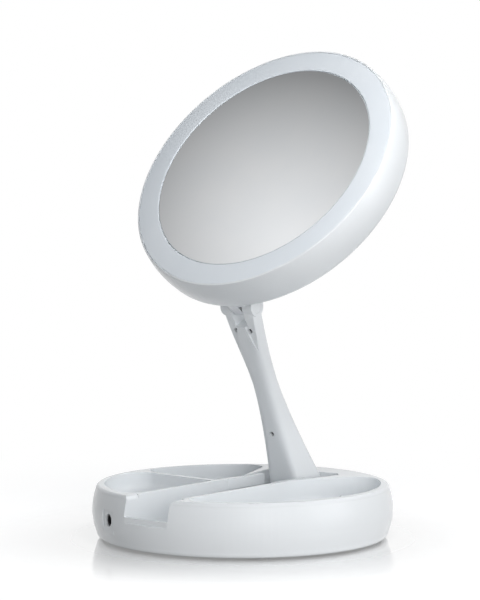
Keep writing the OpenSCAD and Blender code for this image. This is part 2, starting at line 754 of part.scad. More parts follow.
// The pin is hollow, because the lamp's wire comes in through it
module hinge_pin() {
    pin_head_t = 2;
    color(steel) translate([-block_out - pin_head_t, hinge_y, hinge_z]) rotate([0, 90, 0]) difference() {
        union() {
            cylinder(r = pin_r, h = 2 * block_out + pin_head_t + 4.4, $fn = 64);
            cylinder(r = pin_r + 2.2, h = pin_head_t, $fn = 48);
        }
        translate([0, 0, -over]) cylinder(r = wire_r + 0.5, h = 2 * block_out + 10, $fn = 24);
    }
}

module hinge_nut() {
    color(steel) translate([block_out + 0.02, hinge_y, hinge_z]) rotate([0, 90, 0]) difference() {
        cylinder(r = pin_r + 2.6, h = 3.6, $fn = 6);
        translate([0, 0, -over]) cylinder(r = pin_r + pin_play, h = 6, $fn = 64);
    }
}

module friction_washers() {
    color(steel) for (s = [-1, 1]) translate([s * (foot_half_w + washer_gap + washer_t / 2), hinge_y, hinge_z])
        rotate([0, 90, 0]) difference() {
            cylinder(r = 7, h = washer_t, center = true, $fn = 64);
            cylinder(r = pin_r + pin_play, h = 4, center = true, $fn = 64);
        }
}

// The arm's own frame: the hinge axis lies at the origin, +Z runs up the arm and +Y is its rear
module arm_frame() translate([0, hinge_y, hinge_z]) rotate([arm_lean, 0, 0]) children();

// Half width, front depth and rear depth of the arm at a distance s up from its lower hinge
function half_w(s) = s < waist_s
    ? waist_half_w + (foot_half_w - waist_half_w) * pow(min(1, (waist_s - s) / (waist_s - 15)), 1.5)
    : waist_half_w + (fork_half_w - waist_half_w) * pow(min(1, (s - waist_s) / (arm_l - waist_s)), 1.4);
function front_q(s) = s < waist_s
    ? min(barrel_r + 0.08 * s, waist_q + 6.1 * pow((waist_s - s) / 77, 1.4))
    : waist_q + 9.5 * pow(s - waist_s, 2) * (arm_l - s) / pow(arm_l - waist_s, 3);
function rear_q(s) = s < 12
    ? barrel_r + 5 * (1 - pow(1 - s / 12, 2))
    : 5.8 + 10.6 * pow(max(0, (arm_l - 3.3 - s) / (arm_l - 15.3)), 1.9);
// Squareness of the section: a fuller box at both ends and a rounder waist
function square_n(s) = 3 + 2.4 * pow(abs(s - waist_s) / 62, 2);
function sgn_pow(v, p) = sign(v) * pow(abs(v), p);

function arm_ring(s, n) = [for (i = [0 : n - 1])
    let (a = 360 * (i + 0.5) / n, e = 2 / min(7, square_n(s)))
    [half_w(s) * sgn_pow(cos(a), e),
        (rear_q(s) - front_q(s)) / 2 + (rear_q(s) + front_q(s)) / 2 * sgn_pow(sin(a), e), s]];

// The arm's outer skin as one closed loft of rings
module arm_loft() {
    n = 28;
    levels = concat([0.5, 3, 6, 9, 12, 18, 25, 33, 42, 52, 63, 75, 88],
        [for (t = [0, 0.18, 0.35, 0.51, 0.66, 0.79, 0.9, 1]) waist_s + (arm_l - waist_s) * t]);
    m = len(levels);
    points = [for (s = levels) each arm_ring(s, n)];
    sides = [for (k = [0 : m - 2], i = [0 : n - 1]) let (j = (i + 1) % n, a = k * n, b = a + n)
        each [[a + i, b + i, b + j], [a + i, b + j, a + j]]];
    low = [for (i = [1 : n - 2]) [0, i, i + 1]];
    high = [for (i = [1 : n - 2]) [(m - 1) * n, (m - 1) * n + i + 1, (m - 1) * n + i]];
    polyhedron(points = points, faces = concat(sides, low, high));
}

module arm_body() {
    union() {
        arm_loft();
        rotate([0, 90, 0]) cylinder(r = barrel_r, h = 2 * foot_half_w, center = true);
        translate([0, 0, arm_l]) rotate([0, 90, 0]) cylinder(r = fork_r, h = 2 * fork_half_w, center = true);
    }
}

// The strip along the arm's rear that the rear cover fills
module rear_strip(play) {
    steps = [for (i = [0 : 9]) rear_low + (rear_top - rear_low) * i / 9];
    rotate([90, 0, 90]) translate([0, 0, -20]) linear_extrude(40)
        polygon(concat([for (s = steps) [rear_q(s) - rear_cover_t + play, s + (s == rear_low ? play : 0)]],
            [[30, rear_top - play], [30, rear_low + play]]));
}

// Cut for the facets round the two upper screws
module fork_facets() {
    top = arm_l - slot_depth + 4;
    for (side = [-1, 1]) translate([0, -front_q(front_screw_s) + facet_depth, 0]) rotate([90, 0, 0])
        linear_extrude(12) polygon([[side * 2.6, top], [side * (fork_half_w + 2), top + 5],
            [side * (fork_half_w + 2), arm_l - 38], [side * (half_w(arm_l - 38) + 0.5), arm_l - 42]]);
}

// Places children on the arm's front at its two upper screws, with +Z pointing out of the front
module at_upper_screws() {
    for (x = [-screw_dx, screw_dx])
        translate([x, -front_q(front_screw_s) + facet_depth, front_screw_s]) rotate([90, 0, 0]) children();
}

// The same at its lower screw
module at_low_screw() {
    translate([0, -front_q(low_screw_s), low_screw_s]) rotate([90, 0, 0]) children();
}

// Stepped holes of the arm's screws
module arm_screw_holes(l) {
    translate([0, 0, -l - 2.6]) cylinder(r = 1.1 + fit, h = l + 4, $fn = 24);
    translate([0, 0, -3.4]) cylinder(r = 1.9, h = 12, $fn = 32);
}

module arm_front_shell() {
    color(white) arm_frame() difference() {
        arm_body();
        rear_strip(0);
        // Slot of the fork
        translate([-slot_w / 2, -20, arm_l - slot_depth]) cube([slot_w, 40, slot_depth + 20]);
        fork_facets();
        // Bores of the lower hinge and of the tilt pin
        rotate([0, 90, 0]) cylinder(r = bush_r + fit, h = 60, center = true, $fn = 64);
        translate([0, 0, arm_l]) rotate([0, 90, 0])
            cylinder(r = tilt_pin_r + pin_play, h = 60, center = true, $fn = 64);
        for (s = [-1, 1]) translate([s * (fork_half_w - 1), 0, arm_l]) rotate([0, 90, 0])
            cylinder(r = 4.5 + fit, h = 4, center = true, $fn = 48);
        // Hollow for the wire
        translate([-4.5, -1.6, 15]) cube([9, 6, arm_l - slot_depth - 18]);
        translate([0, 1.4, arm_l - slot_depth - 6]) cylinder(r = wire_r + 0.5, h = 8, $fn = 24);
        // Screw holes with sunk heads
        at_upper_screws() arm_screw_holes(upper_screw_l);
        at_low_screw() arm_screw_holes(low_screw_l);
    }
}

module arm_rear_cover() {
    color(white) arm_frame() difference() {
        intersection() {
            arm_loft();
            rear_strip(fit);
        }
        at_upper_screws() arm_screw_holes(upper_screw_l);
        at_low_screw() arm_screw_holes(low_screw_l);
    }
}

module arm_screws() {
    color(steel) arm_frame() {
        at_upper_screws() translate([0, 0, -2]) screw(1.8, 1.3, 1.1, upper_screw_l);
        at_low_screw() translate([0, 0, -2]) screw(1.8, 1.3, 1.1, low_screw_l);
    }
}

module hinge_bush() {
    color("goldenrod") translate([0, hinge_y, hinge_z]) rotate([0, 90, 0]) difference() {
        cylinder(r = bush_r, h = 2 * foot_half_w, center = true, $fn = 64);
        cylinder(r = pin_r + pin_play, h = 60, center = true, $fn = 64);
    }
}

module arm_wire() {
    color("black") arm_frame() wire_run([[0, 1.4, 16], [3, 1.6, 45], [3, 1.6, 75], [-0.6, 1.6, 100],
        [0, 1.4, arm_l - slot_depth - 8], [0, 1.4, arm_l - slot_depth + 1.6]]);
}

module pin_caps() {
    color(white) arm_frame() for (s = [-1, 1]) translate([s * (fork_half_w - 0.8), 0, arm_l])
        rotate([0, 90, 0]) cylinder(r = 4.5, h = 1.5, center = true, $fn = 48);
}

module tilt_pin() {
    l = 2 * (fork_half_w - 3.4);
    color(steel) translate([0, fork_y, fork_z]) rotate([0, 90, 0])
        cylinder(r = tilt_pin_r, h = l, center = true, $fn = 64);
}

module tilt_washers() {
    color(steel) for (s = [-1, 1]) translate([s * (knuckle_half + washer_gap + washer_t / 2), fork_y, fork_z])
        rotate([0, 90, 0]) difference() {
            cylinder(r = 5.4, h = washer_t, center = true, $fn = 64);
            cylinder(r = tilt_pin_r + 0.02, h = 4, center = true, $fn = 64);
        }
}

// The head's own frame: the centre of its face lies at the origin, +Z is the way the mirror faces
// and +Y runs up the face
module head_frame() translate([0, face_y, face_z]) rotate([90 - head_tilt, 0, 0]) children();

module at_knuckle_screws() {
    for (x = [-7, 7], y = [13, 21]) translate([x, -tilt_drop + y, -head_t - plate_n]) rotate([180, 0, 0])
        children();
}

module tilt_knuckle() {
    color("lightgray") head_frame() difference() {
        union() {
            translate([0, -tilt_drop, -pivot_n]) rotate([0, 90, 0])
                cylinder(r = knuckle_r, h = 2 * knuckle_half, center = true, $fn = 64);
            translate([-knuckle_half, -tilt_drop - knuckle_r, -pivot_n])
                cube([2 * knuckle_half, 2 * knuckle_r, tilt_back - 1]);
            translate([-knuckle_half, -tilt_drop, -pivot_n + 1.4])
                cube([2 * knuckle_half, knuckle_r + 3.4, tilt_back - 2.4]);
            translate([-11, -tilt_drop - knuckle_r, -head_t - plate_n]) cube([22, 32, plate_n]);
        }
        translate([0, -tilt_drop, -pivot_n]) rotate([0, 90, 0])
            cylinder(r = tilt_pin_r + pin_play, h = 60, center = true, $fn = 64);
        at_knuckle_screws() translate([0, 0, -5]) cylinder(r = 1.5, h = 10, $fn = 24);
        translate([0, -tilt_drop + wire_y, -pivot_n]) cylinder(r = wire_r + 0.5, h = 20, $fn = 24);
    }
}

module knuckle_screws() {
    color(steel) head_frame() at_knuckle_screws() translate([0, 0, 1.2]) screw(2.4, 1.2, 1.2, 8);
}

// The boss inside the head shell that takes the knuckle's screws
module knuckle_boss(g) {
    translate([-11 - g, -tilt_drop + 7, -head_t + 1]) cube([22 + 2 * g, 20, 8]);
}

module at_carrier_screws() {
    for (i = [0 : carrier_screw_count - 1]) rotate(30 + i * 60) translate([carrier_screw_r, 0, 0]) children();
}

module head_shell() {
    color(white) head_frame() difference() {
        barrel(head_r, -head_bulge_depth, head_bulge_r, -head_t, 0, head_back_r, head_front_r);
        difference() {
            union() {
                translate([0, 0, -head_t + head_wall]) cylinder(r = head_r - 7, h = head_t, $fn = 180);
                translate([0, 0, board_n - fit]) cylinder(r = head_r - 4.6, h = head_t, $fn = 180);
            }
            at_carrier_screws() translate([0, 0, -head_t]) cylinder(r = 3.4, h = head_t + boss_top, $fn = 32);
            knuckle_boss(0);
        }
        // Rebate of the light ring
        translate([0, 0, -ring_t - 0.1]) cylinder(r = ring_r + 0.1, h = 4, $fn = 180);
        at_carrier_screws() translate([0, 0, -head_t + 6]) cylinder(r = 1.2 + fit, h = head_t, $fn = 24);
        at_knuckle_screws() translate([0, 0, -8]) cylinder(r = 1.2 + fit, h = 20, $fn = 24);
        // Opening for the wire
        translate([0, -tilt_drop + wire_y, -head_t - over]) cylinder(r = wire_r + 0.5, h = 12, $fn = 24);
    }
}

module light_ring() {
    color("azure") head_frame() difference() {
        union() {
            translate([0, 0, -ring_t]) cylinder(r = ring_r, h = ring_t - 0.1, $fn = 180);
            translate([0, 0, -ring_t - 1.2]) cylinder(r = glass_r + 3, h = 1.5, $fn = 180);
        }
        translate([0, 0, -10]) cylinder(r = glass_r + 0.2, h = 20, $fn = 180);
    }
}

module mirror_glass() {
    color("lightsteelblue") head_frame() translate([0, 0, -glass_sink - glass_t])
        cylinder(r = glass_r, h = glass_t, $fn = 180);
}

module mirror_carrier() {
    color(white) head_frame() difference() {
        union() {
            difference() {
                translate([0, 0, board_n]) cylinder(r = glass_r - 0.5, h = carrier_top - board_n, $fn = 180);
                translate([0, 0, board_n - over])
                    cylinder(r = glass_r - 2.5, h = carrier_top - carrier_t - board_n + over, $fn = 180);
            }
            // Posts that carry the screws down to the shell's bosses
            at_carrier_screws() translate([0, 0, boss_top + fit])
                cylinder(r = 3.4, h = carrier_top - boss_top - over, $fn = 32);
        }
        at_carrier_screws() translate([0, 0, boss_top - over]) cylinder(r = 1.4, h = 12, $fn = 24);
        at_carrier_screws() translate([0, 0, carrier_top - 1.2]) cylinder(r = 2.9, h = 3, $fn = 32);
    }
}

module carrier_screws() {
    color(steel) head_frame() at_carrier_screws() translate([0, 0, carrier_top - 0.1]) screw(2.6, 1.1, 1.2, 12);
}

module led_board() {
    color("white") head_frame() difference() {
        translate([0, 0, board_n]) cylinder(r = lamp_board_r, h = board_t, $fn = 180);
        translate([0, 0, board_n - over]) cylinder(r = glass_r, h = 6, $fn = 180);
    }
}

module led_chips() {
    color("khaki") head_frame() for (i = [0 : led_count - 1]) rotate(i * 360 / led_count)
        translate([(glass_r + lamp_board_r) / 2, 0, board_n + board_t + 0.5]) cube([2.8, 3.5, 1], center = true);
}

module head_wire() {
    y0 = -tilt_drop + wire_y;
    z = board_n - wire_r - 0.1;
    color("black") head_frame() wire_run([[0, y0, -pivot_n + 3], [0, y0, z - 4], [20, y0 + 3, z],
        [34, y0 + 1, z]]);
}

// Two pads that keep the folded head off the rim
module rest_pads() {
    color("dimgray") head_frame() for (x = [-16, 16]) translate([x, head_r - 15.5, -head_t - pad_h])
        cylinder(r = 3.5, h = pad_h, $fn = 32);
}

base_tray();
base_cover();
cover_screws();
rubber_feet();
battery_door();
battery_cells();
battery_contacts();
jack_plate();
dc_jack();
jack_pin();
driver_board();
board_parts();
board_screws();
tact_switch();
power_button();
base_wire();
hinge_blocks();
hinge_block_screws();
hinge_pin();
hinge_nut();
friction_washers();
arm_front_shell();
arm_rear_cover();
arm_screws();
hinge_bush();
arm_wire();
pin_caps();
tilt_pin();
tilt_washers();
tilt_knuckle();
knuckle_screws();
head_shell();
light_ring();
mirror_glass();
mirror_carrier();
carrier_screws();
led_board();
led_chips();
head_wire();
rest_pads();
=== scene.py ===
import json
import math

import bmesh
import bpy
import numpy as np
from mathutils import Matrix, Vector


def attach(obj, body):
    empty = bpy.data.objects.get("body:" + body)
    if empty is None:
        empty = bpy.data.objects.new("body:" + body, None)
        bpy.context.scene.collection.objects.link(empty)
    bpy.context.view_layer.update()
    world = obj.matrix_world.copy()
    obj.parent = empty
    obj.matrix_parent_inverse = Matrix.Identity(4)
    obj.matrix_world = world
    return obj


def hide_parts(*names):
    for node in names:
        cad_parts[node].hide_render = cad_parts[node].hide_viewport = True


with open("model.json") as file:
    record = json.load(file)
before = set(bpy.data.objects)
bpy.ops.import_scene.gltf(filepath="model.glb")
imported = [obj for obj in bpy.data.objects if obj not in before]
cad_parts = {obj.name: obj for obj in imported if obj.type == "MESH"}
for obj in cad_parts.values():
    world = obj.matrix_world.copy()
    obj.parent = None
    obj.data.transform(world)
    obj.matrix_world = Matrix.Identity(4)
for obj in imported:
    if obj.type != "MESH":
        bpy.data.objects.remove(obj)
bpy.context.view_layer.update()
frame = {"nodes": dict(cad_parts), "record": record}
nodes = frame["nodes"]
MM = 0.001

# ---------------------------------------------------------------- sizes, in millimetres

HINGE = Vector((0, 67.8, 18.0))
ARM_L, ARM_LEAN = 162.3, math.radians(25.1)
FORK = HINGE + Vector((0, -ARM_L * math.sin(ARM_LEAN), ARM_L * math.cos(ARM_LEAN)))
HEAD_T, HEAD_TILT, GLASS_R = 31.0, math.radians(36.8), 87.0
TILT_DROP, TILT_BACK = 94.2, 11.1
PIVOT_N = HEAD_T + TILT_BACK
FACE = FORK + Vector((0, TILT_DROP * math.sin(HEAD_TILT) - PIVOT_N * math.cos(HEAD_TILT),
                      TILT_DROP * math.cos(HEAD_TILT) + PIVOT_N * math.sin(HEAD_TILT)))
HEAD_PLACE = Matrix.Translation(FACE) @ Matrix.Rotation(math.pi / 2 - HEAD_TILT, 4, "X")
ARM_PLACE = Matrix.Translation(HINGE) @ Matrix.Rotation(ARM_LEAN, 4, "X")
TO_METRES = Matrix.Scale(MM, 4)
RIM_R, WELL_X, SWEEP_R = 98.906, 22.1, 6.0
DIVIDER_Y, DIVIDER_T, DIVIDER_SLOPE = -6.6, 3.0, 4.8
FLARE_Y, FLARE_TURN, BACK_FLARE_Y, BACK_FLARE_TURN = 34, 30.7, 29, 21.7
BEND_R, CORNER_R, HUB_CORNER_R, DIVIDER_CORNER_R, FLARE_CORNER_R = 40, 14, 10, 2.5, 0.3
LEFT_Z, BACK_Z, RIGHT_Z = 25.4, 24.0, 20.6
LED_COUNT, LED_RING_R, BOARD_TOP = 40, 94.25, -13.6
PEG_X, PEG_Z, PEG_SLIM = 31.4, 2.4, 0.86
SCREW_HEAD_H, THREAD_PITCH = 1.1, 0.9


# ---------------------------------------------------------------- camera, floor and lamps

FILL, FLOOR_GLOW, FLOOR_SHINE, PAPER = 0.25, 0.68, 0.72, 0.55
SHINE_ENDS, PLAIN_STARTS = (0.100, 0.225), (0.16, 0.50)
FOCAL_PX, PHOTO_PX = 2200, 600
POOL_WAY, POOL_LIGHT, POOL_FALL, POOL_CURVE, POOL_DARK = (-0.6069, -0.2545, 0.7529), 0.933, -4.85, -42.5, 0.27
CARD_WAY, CARD_EDGE = (-0.617, -0.216, 0.756), (0.80, 0.95)


def place_camera():
    eye = Vector((0.97813, -1.22244, 0.25488))
    ahead = Vector((-0.62478, 0.77889, -0.05453))
    data = bpy.data.cameras.new("photo_camera")
    data.sensor_fit = "VERTICAL"
    data.sensor_height = 36.0
    data.lens = 36.0 * FOCAL_PX / PHOTO_PX
    data.clip_end = 30
    cam = bpy.data.objects.new("photo_camera", data)
    bpy.context.scene.collection.objects.link(cam)
    cam.location = eye
    cam.rotation_euler = ahead.to_track_quat("-Z", "Y").to_euler()
    bpy.context.scene.camera = cam


def area_lamp(name, spot, aim, size, power, glossy=True):
    data = bpy.data.lights.new(name, "AREA")
    data.shape = "RECTANGLE"
    data.size, data.size_y = size
    data.energy = power
    lamp = bpy.data.objects.new(name, data)
    bpy.context.scene.collection.objects.link(lamp)
    lamp.location = spot
    lamp.rotation_euler = (Vector(aim) - Vector(spot)).to_track_quat("-Z", "Y").to_euler()
    lamp.visible_camera = False
    lamp.visible_glossy = glossy


def sums(t, kind, *values):
    """Output of a Math node. Each value is a plain float or the output of another node."""
    node = t.nodes.new("ShaderNodeMath")
    node.operation = kind
    for n, value in enumerate(values):
        if isinstance(value, float):
            node.inputs[n].default_value = value
        else:
            t.links.new(value, node.inputs[n])
    return node.outputs[0]


def along(t, source, way):
    dot = t.nodes.new("ShaderNodeVectorMath")
    dot.operation = "DOT_PRODUCT"
    dot.inputs[1].default_value = way
    t.links.new(source, dot.inputs[0])
    return dot.outputs["Value"]


def spread(t, source, ends, to_ends, ease="LINEAR"):
    ramp = t.nodes.new("ShaderNodeMapRange")
    ramp.interpolation_type = ease
    for name, value in zip(("From Min", "From Max", "To Min", "To Max"), (*ends, *to_ends)):
        ramp.inputs[name].default_value = value
    t.links.new(source, ramp.inputs["Value"])
    return ramp.outputs["Result"]


def mixed(t, share, first, second):
    mix = t.nodes.new("ShaderNodeMixShader")
    t.links.new(share, mix.inputs["Fac"])
    t.links.new(first.outputs[0], mix.inputs[1])
    t.links.new(second.outputs[0], mix.inputs[2])
    return mix


def looked_at(t):
    """1 where the camera, glass or gloss looks straight at it, 0 for light that it only scatters."""
    path = t.nodes.new("ShaderNodeLightPath").outputs
    return sums(t, "MAXIMUM", sums(t, "MAXIMUM", path["Is Camera Ray"], path["Is Transmission Ray"]),
                path["Is Glossy Ray"])


def studio_world():
    """Dim for the object, white where the camera, gloss or glass looks past it, with one grey card."""
    world = bpy.data.worlds.new("studio")
    bpy.context.scene.world = world
    world.use_nodes = True
    t = world.node_tree
    t.nodes.clear()
    fill = t.nodes.new("ShaderNodeBackground")
    fill.inputs["Color"].default_value = (0.93, 0.965, 1.0, 1)
    fill.inputs["Strength"].default_value = FILL
    white = t.nodes.new("ShaderNodeBackground")
    white.inputs["Strength"].default_value = 1.0
    t.links.new(grey_card(t), white.inputs["Color"])
    out = t.nodes.new("ShaderNodeOutputWorld")
    t.links.new(mixed(t, looked_at(t), fill, white).outputs[0], out.inputs["Surface"])


def grey_card(t):
    """A grey card high on the left with a soft pool of light on it, for the glass. Elsewhere it is white."""
    sky = t.nodes.new("ShaderNodeTexCoord").outputs["Generated"]
    gap = sums(t, "MULTIPLY_ADD", along(t, sky, POOL_WAY), -2.0, 2.0)
    off = sums(t, "SQRT", sums(t, "MAXIMUM", gap, 0.0))
    slope = sums(t, "MULTIPLY_ADD", off, POOL_CURVE, POOL_FALL)
    pool = sums(t, "MAXIMUM", sums(t, "MULTIPLY_ADD", slope, off, POOL_LIGHT), POOL_DARK)
    card = spread(t, along(t, sky, CARD_WAY), CARD_EDGE, (0.0, 1.0), "SMOOTHSTEP")
    path = t.nodes.new("ShaderNodeLightPath")
    held = sums(t, "MULTIPLY", card, path.outputs["Is Glossy Ray"])
    mix = t.nodes.new("ShaderNodeMix")
    mix.data_type = "FLOAT"
    mix.inputs["A"].default_value = 1.0
    t.links.new(held, mix.inputs["Factor"])
    t.links.new(pool, mix.inputs["B"])
    return mix.outputs["Result"]


def emission(t):
    glow = t.nodes.new("ShaderNodeEmission")
    glow.inputs["Color"].default_value = (1, 1, 1, 1)
    glow.inputs["Strength"].default_value = 1.0
    return glow


def floor_finish():
    """White paper: a faint shine round the base, the object's shadow near it, plain white further out."""
    mat, t, shader = new_material("white_floor")
    shader.inputs["Base Color"].default_value = (PAPER, PAPER, PAPER, 1)
    shader.inputs["Roughness"].default_value = 0.9
    shader.inputs["Specular IOR Level"].default_value = 0.0
    place = t.nodes.new("ShaderNodeTexCoord")
    reach = t.nodes.new("ShaderNodeVectorMath")
    reach.operation = "LENGTH"
    t.links.new(place.outputs["Object"], reach.inputs[0])
    near = spread(t, reach.outputs["Value"], SHINE_ENDS, (FLOOR_SHINE, 0.0), "SMOOTHSTEP")
    far = spread(t, reach.outputs["Value"], PLAIN_STARTS, (0.0, 1.0), "SMOOTHSTEP")
    looked = looked_at(t)
    glow = emission(t)
    t.links.new(sums(t, "MULTIPLY", looked, FLOOR_GLOW), glow.inputs["Strength"])
    paper = t.nodes.new("ShaderNodeAddShader")
    t.links.new(shader.outputs[0], paper.inputs[0])
    t.links.new(glow.outputs[0], paper.inputs[1])
    shine = t.nodes.new("ShaderNodeBsdfGlossy")
    shine.inputs["Color"].default_value = (0.87, 0.87, 0.87, 1)
    shine.inputs["Roughness"].default_value = 0.06
    lit = mixed(t, near, paper, shine)
    whole = mixed(t, sums(t, "MULTIPLY", far, looked), lit, emission(t))
    out = next(n for n in t.nodes if n.type == "OUTPUT_MATERIAL")
    t.links.new(whole.outputs[0], out.inputs["Surface"])
    return mat


def studio_floor():
    mesh = bpy.data.meshes.new("studio_floor")
    s = 6.0
    mesh.from_pydata([(-s, -s, 0), (s, -s, 0), (s, s, 0), (-s, s, 0)], [], [(0, 1, 2, 3)])
    floor = bpy.data.objects.new("studio_floor", mesh)
    bpy.context.scene.collection.objects.link(floor)
    mesh.materials.append(floor_finish())


# ---------------------------------------------------------------- materials

def new_material(name):
    mat = bpy.data.materials.new(name)
    mat.use_nodes = True
    t = mat.node_tree
    shader = next(n for n in t.nodes if n.type == "BSDF_PRINCIPLED")
    return mat, t, shader


def object_noise(t, scale, detail=3.0, rough=0.5):
    place = t.nodes.new("ShaderNodeTexCoord")
    noise = t.nodes.new("ShaderNodeTexNoise")
    noise.inputs["Scale"].default_value = scale
    noise.inputs["Detail"].default_value = detail
    noise.inputs["Roughness"].default_value = rough
    t.links.new(place.outputs["Object"], noise.inputs["Vector"])
    return noise


def between(t, source, low, high):
    ramp = t.nodes.new("ShaderNodeMapRange")
    ramp.inputs["From Min"].default_value = 0.3
    ramp.inputs["From Max"].default_value = 0.7
    ramp.inputs["To Min"].default_value = low
    ramp.inputs["To Max"].default_value = high
    t.links.new(source, ramp.inputs["Value"])
    return ramp.outputs["Result"]


def tint(t, source, dark, light):
    ramp = t.nodes.new("ShaderNodeValToRGB")
    ramp.color_ramp.elements[0].position = 0.35
    ramp.color_ramp.elements[0].color = (*dark, 1)
    ramp.color_ramp.elements[1].position = 0.65
    ramp.color_ramp.elements[1].color = (*light, 1)
    t.links.new(source, ramp.inputs["Fac"])
    return ramp.outputs["Color"]


def surface_grain(t, shader, noise, strength, distance):
    bump = t.nodes.new("ShaderNodeBump")
    bump.inputs["Strength"].default_value = strength
    bump.inputs["Distance"].default_value = distance
    t.links.new(noise.outputs["Fac"], bump.inputs["Height"])
    t.links.new(bump.outputs["Normal"], shader.inputs["Normal"])


def coat(t, shader, noise, dark, light, low, high):
    """Lets a noise carry the colour and the roughness, each between two values."""
    t.links.new(tint(t, noise.outputs["Fac"], dark, light), shader.inputs["Base Color"])
    t.links.new(between(t, noise.outputs["Fac"], low, high), shader.inputs["Roughness"])


def moulded_plastic(name, dark, light, gloss=0.2):
    """Glossy moulded plastic: a faint cloud in the colour and gloss, and a very low ripple."""
    mat, t, shader = new_material(name)
    coat(t, shader, object_noise(t, 14, 2), dark, light, gloss * 0.85, gloss * 1.2)
    shader.inputs["IOR"].default_value = 1.5
    surface_grain(t, shader, object_noise(t, 260, 2), 0.05, 0.0002)
    return mat


def milky_diffuser(name):
    mat, t, shader = new_material(name)
    coat(t, shader, object_noise(t, 20, 2), (0.755, 0.80, 0.845), (0.775, 0.815, 0.855), 0.46, 0.54)
    surface_grain(t, shader, object_noise(t, 90, 2), 0.03, 0.0001)
    return mat


def silvered_glass(name):
    mat, t, shader = new_material(name)
    coat(t, shader, object_noise(t, 30, 4), (0.885, 0.905, 0.925), (0.905, 0.92, 0.935), 0.015, 0.03)
    shader.inputs["Metallic"].default_value = 1.0
    return mat


def plated_steel(name, dark=(0.50, 0.51, 0.53), light=(0.62, 0.63, 0.65), rough=0.32):
    mat, t, shader = new_material(name)
    brush = object_noise(t, 500, 3)
    coat(t, shader, brush, dark, light, rough * 0.8, rough * 1.25)
    shader.inputs["Metallic"].default_value = 1.0
    surface_grain(t, shader, brush, 0.08, 0.0001)
    return mat


def soft_rubber(name):
    mat, t, shader = new_material(name)
    grain = object_noise(t, 1400, 3)
    coat(t, shader, grain, (0.045, 0.045, 0.05), (0.075, 0.075, 0.08), 0.7, 0.9)
    surface_grain(t, shader, grain, 0.3, 0.0001)
    return mat


def circuit_lacquer(name, dark, light):
    mat, t, shader = new_material(name)
    weave = object_noise(t, 320, 3)
    coat(t, shader, weave, dark, light, 0.3, 0.5)
    surface_grain(t, shader, weave, 0.1, 0.0001)
    return mat


def phosphor(name):
    mat, t, shader = new_material(name)
    coat(t, shader, object_noise(t, 900, 3), (0.85, 0.72, 0.25), (0.95, 0.85, 0.42), 0.4, 0.6)
    return mat


WHITE = moulded_plastic("white_shell", (0.80, 0.825, 0.845), (0.815, 0.84, 0.86), 0.22)
DIFFUSER = milky_diffuser("milky_diffuser")
MIRROR = silvered_glass("silvered_glass")
GROUND_EDGE = moulded_plastic("ground_edge", (0.52, 0.56, 0.58), (0.58, 0.62, 0.64), 0.6)
STEEL = plated_steel("zinc_plate")
CASTING = plated_steel("satin_casting", (0.42, 0.43, 0.45), (0.52, 0.53, 0.55), 0.45)
BRONZE = plated_steel("sintered_bronze", (0.55, 0.38, 0.18), (0.66, 0.47, 0.24), 0.4)
RUBBER = soft_rubber("soft_rubber")
BLACK = moulded_plastic("black_moulding", (0.02, 0.02, 0.022), (0.03, 0.03, 0.033), 0.4)
WIRE = moulded_plastic("wire_jacket", (0.015, 0.015, 0.017), (0.025, 0.025, 0.027), 0.45)
GREEN_BOARD = circuit_lacquer("green_lacquer", (0.03, 0.16, 0.08), (0.04, 0.22, 0.11))
WHITE_BOARD = circuit_lacquer("white_lacquer", (0.78, 0.79, 0.79), (0.85, 0.86, 0.86))
PHOSPHOR = phosphor("phosphor")
JACKET = moulded_plastic("cell_jacket", (0.10, 0.12, 0.15), (0.13, 0.15, 0.19), 0.28)
DARK_STEEL = plated_steel("black_zinc", (0.05, 0.05, 0.055), (0.09, 0.09, 0.10), 0.4)
PALE_CASTING = plated_steel("pale_casting", (0.70, 0.71, 0.73), (0.78, 0.79, 0.81), 0.4)
CERAMIC = moulded_plastic("lamp_ceramic", (0.80, 0.80, 0.78), (0.86, 0.86, 0.84), 0.35)

SLOT_FINISH = {
    "white_shell": WHITE, "diffuser": DIFFUSER, "mirror": MIRROR, "led": PHOSPHOR, "lamp_board": WHITE_BOARD,
    "circuit_board": GREEN_BOARD, "black_plastic": BLACK, "wire": WIRE, "steel": STEEL, "hinge_metal": CASTING,
    "bronze": BRONZE, "rubber": RUBBER, "cell_jacket": JACKET,
}


def finish_cad_nodes():
    slots = {s["node"]: s["material_slot"] for s in frame["record"]["subparts"]}
    for name, node in nodes.items():
        node.data.materials.clear()
        node.data.materials.append(SLOT_FINISH[slots[name]])


# ---------------------------------------------------------------- mesh helpers

def mesh_object(name, bm, material, place=None, smooth_angle=35):
    """A finished piece in metres at the origin, from a bmesh in millimetres."""
    bm.transform(TO_METRES @ (place or Matrix.Identity(4)))
    bmesh.ops.remove_doubles(bm, verts=bm.verts, dist=1e-6)
    bmesh.ops.recalc_face_normals(bm, faces=bm.faces)
    mesh = bpy.data.meshes.new(name)
    bm.to_mesh(mesh)
    bm.free()
    obj = bpy.data.objects.new(name, mesh)
    bpy.context.scene.collection.objects.link(obj)
    mesh.materials.append(material)
    shade(obj, smooth_angle)
    return obj


def shade(obj, angle):
    mesh = obj.data
    mesh.polygons.foreach_set("use_smooth", [True] * len(mesh.polygons))
    bm = bmesh.new()
    bm.from_mesh(mesh)
    limit = math.radians(angle)
    for e in bm.edges:
        e.smooth = len(e.link_faces) == 2 and e.calc_face_angle(0) < limit
    bm.to_mesh(mesh)
    bm.free()


def apply_modifiers(obj):
    deps = bpy.context.evaluated_depsgraph_get()
    mesh = bpy.data.meshes.new_from_object(obj.evaluated_get(deps))
    obj.modifiers.clear()
    old = obj.data
    obj.data = mesh
    bpy.data.meshes.remove(old)
    mesh.name = obj.name


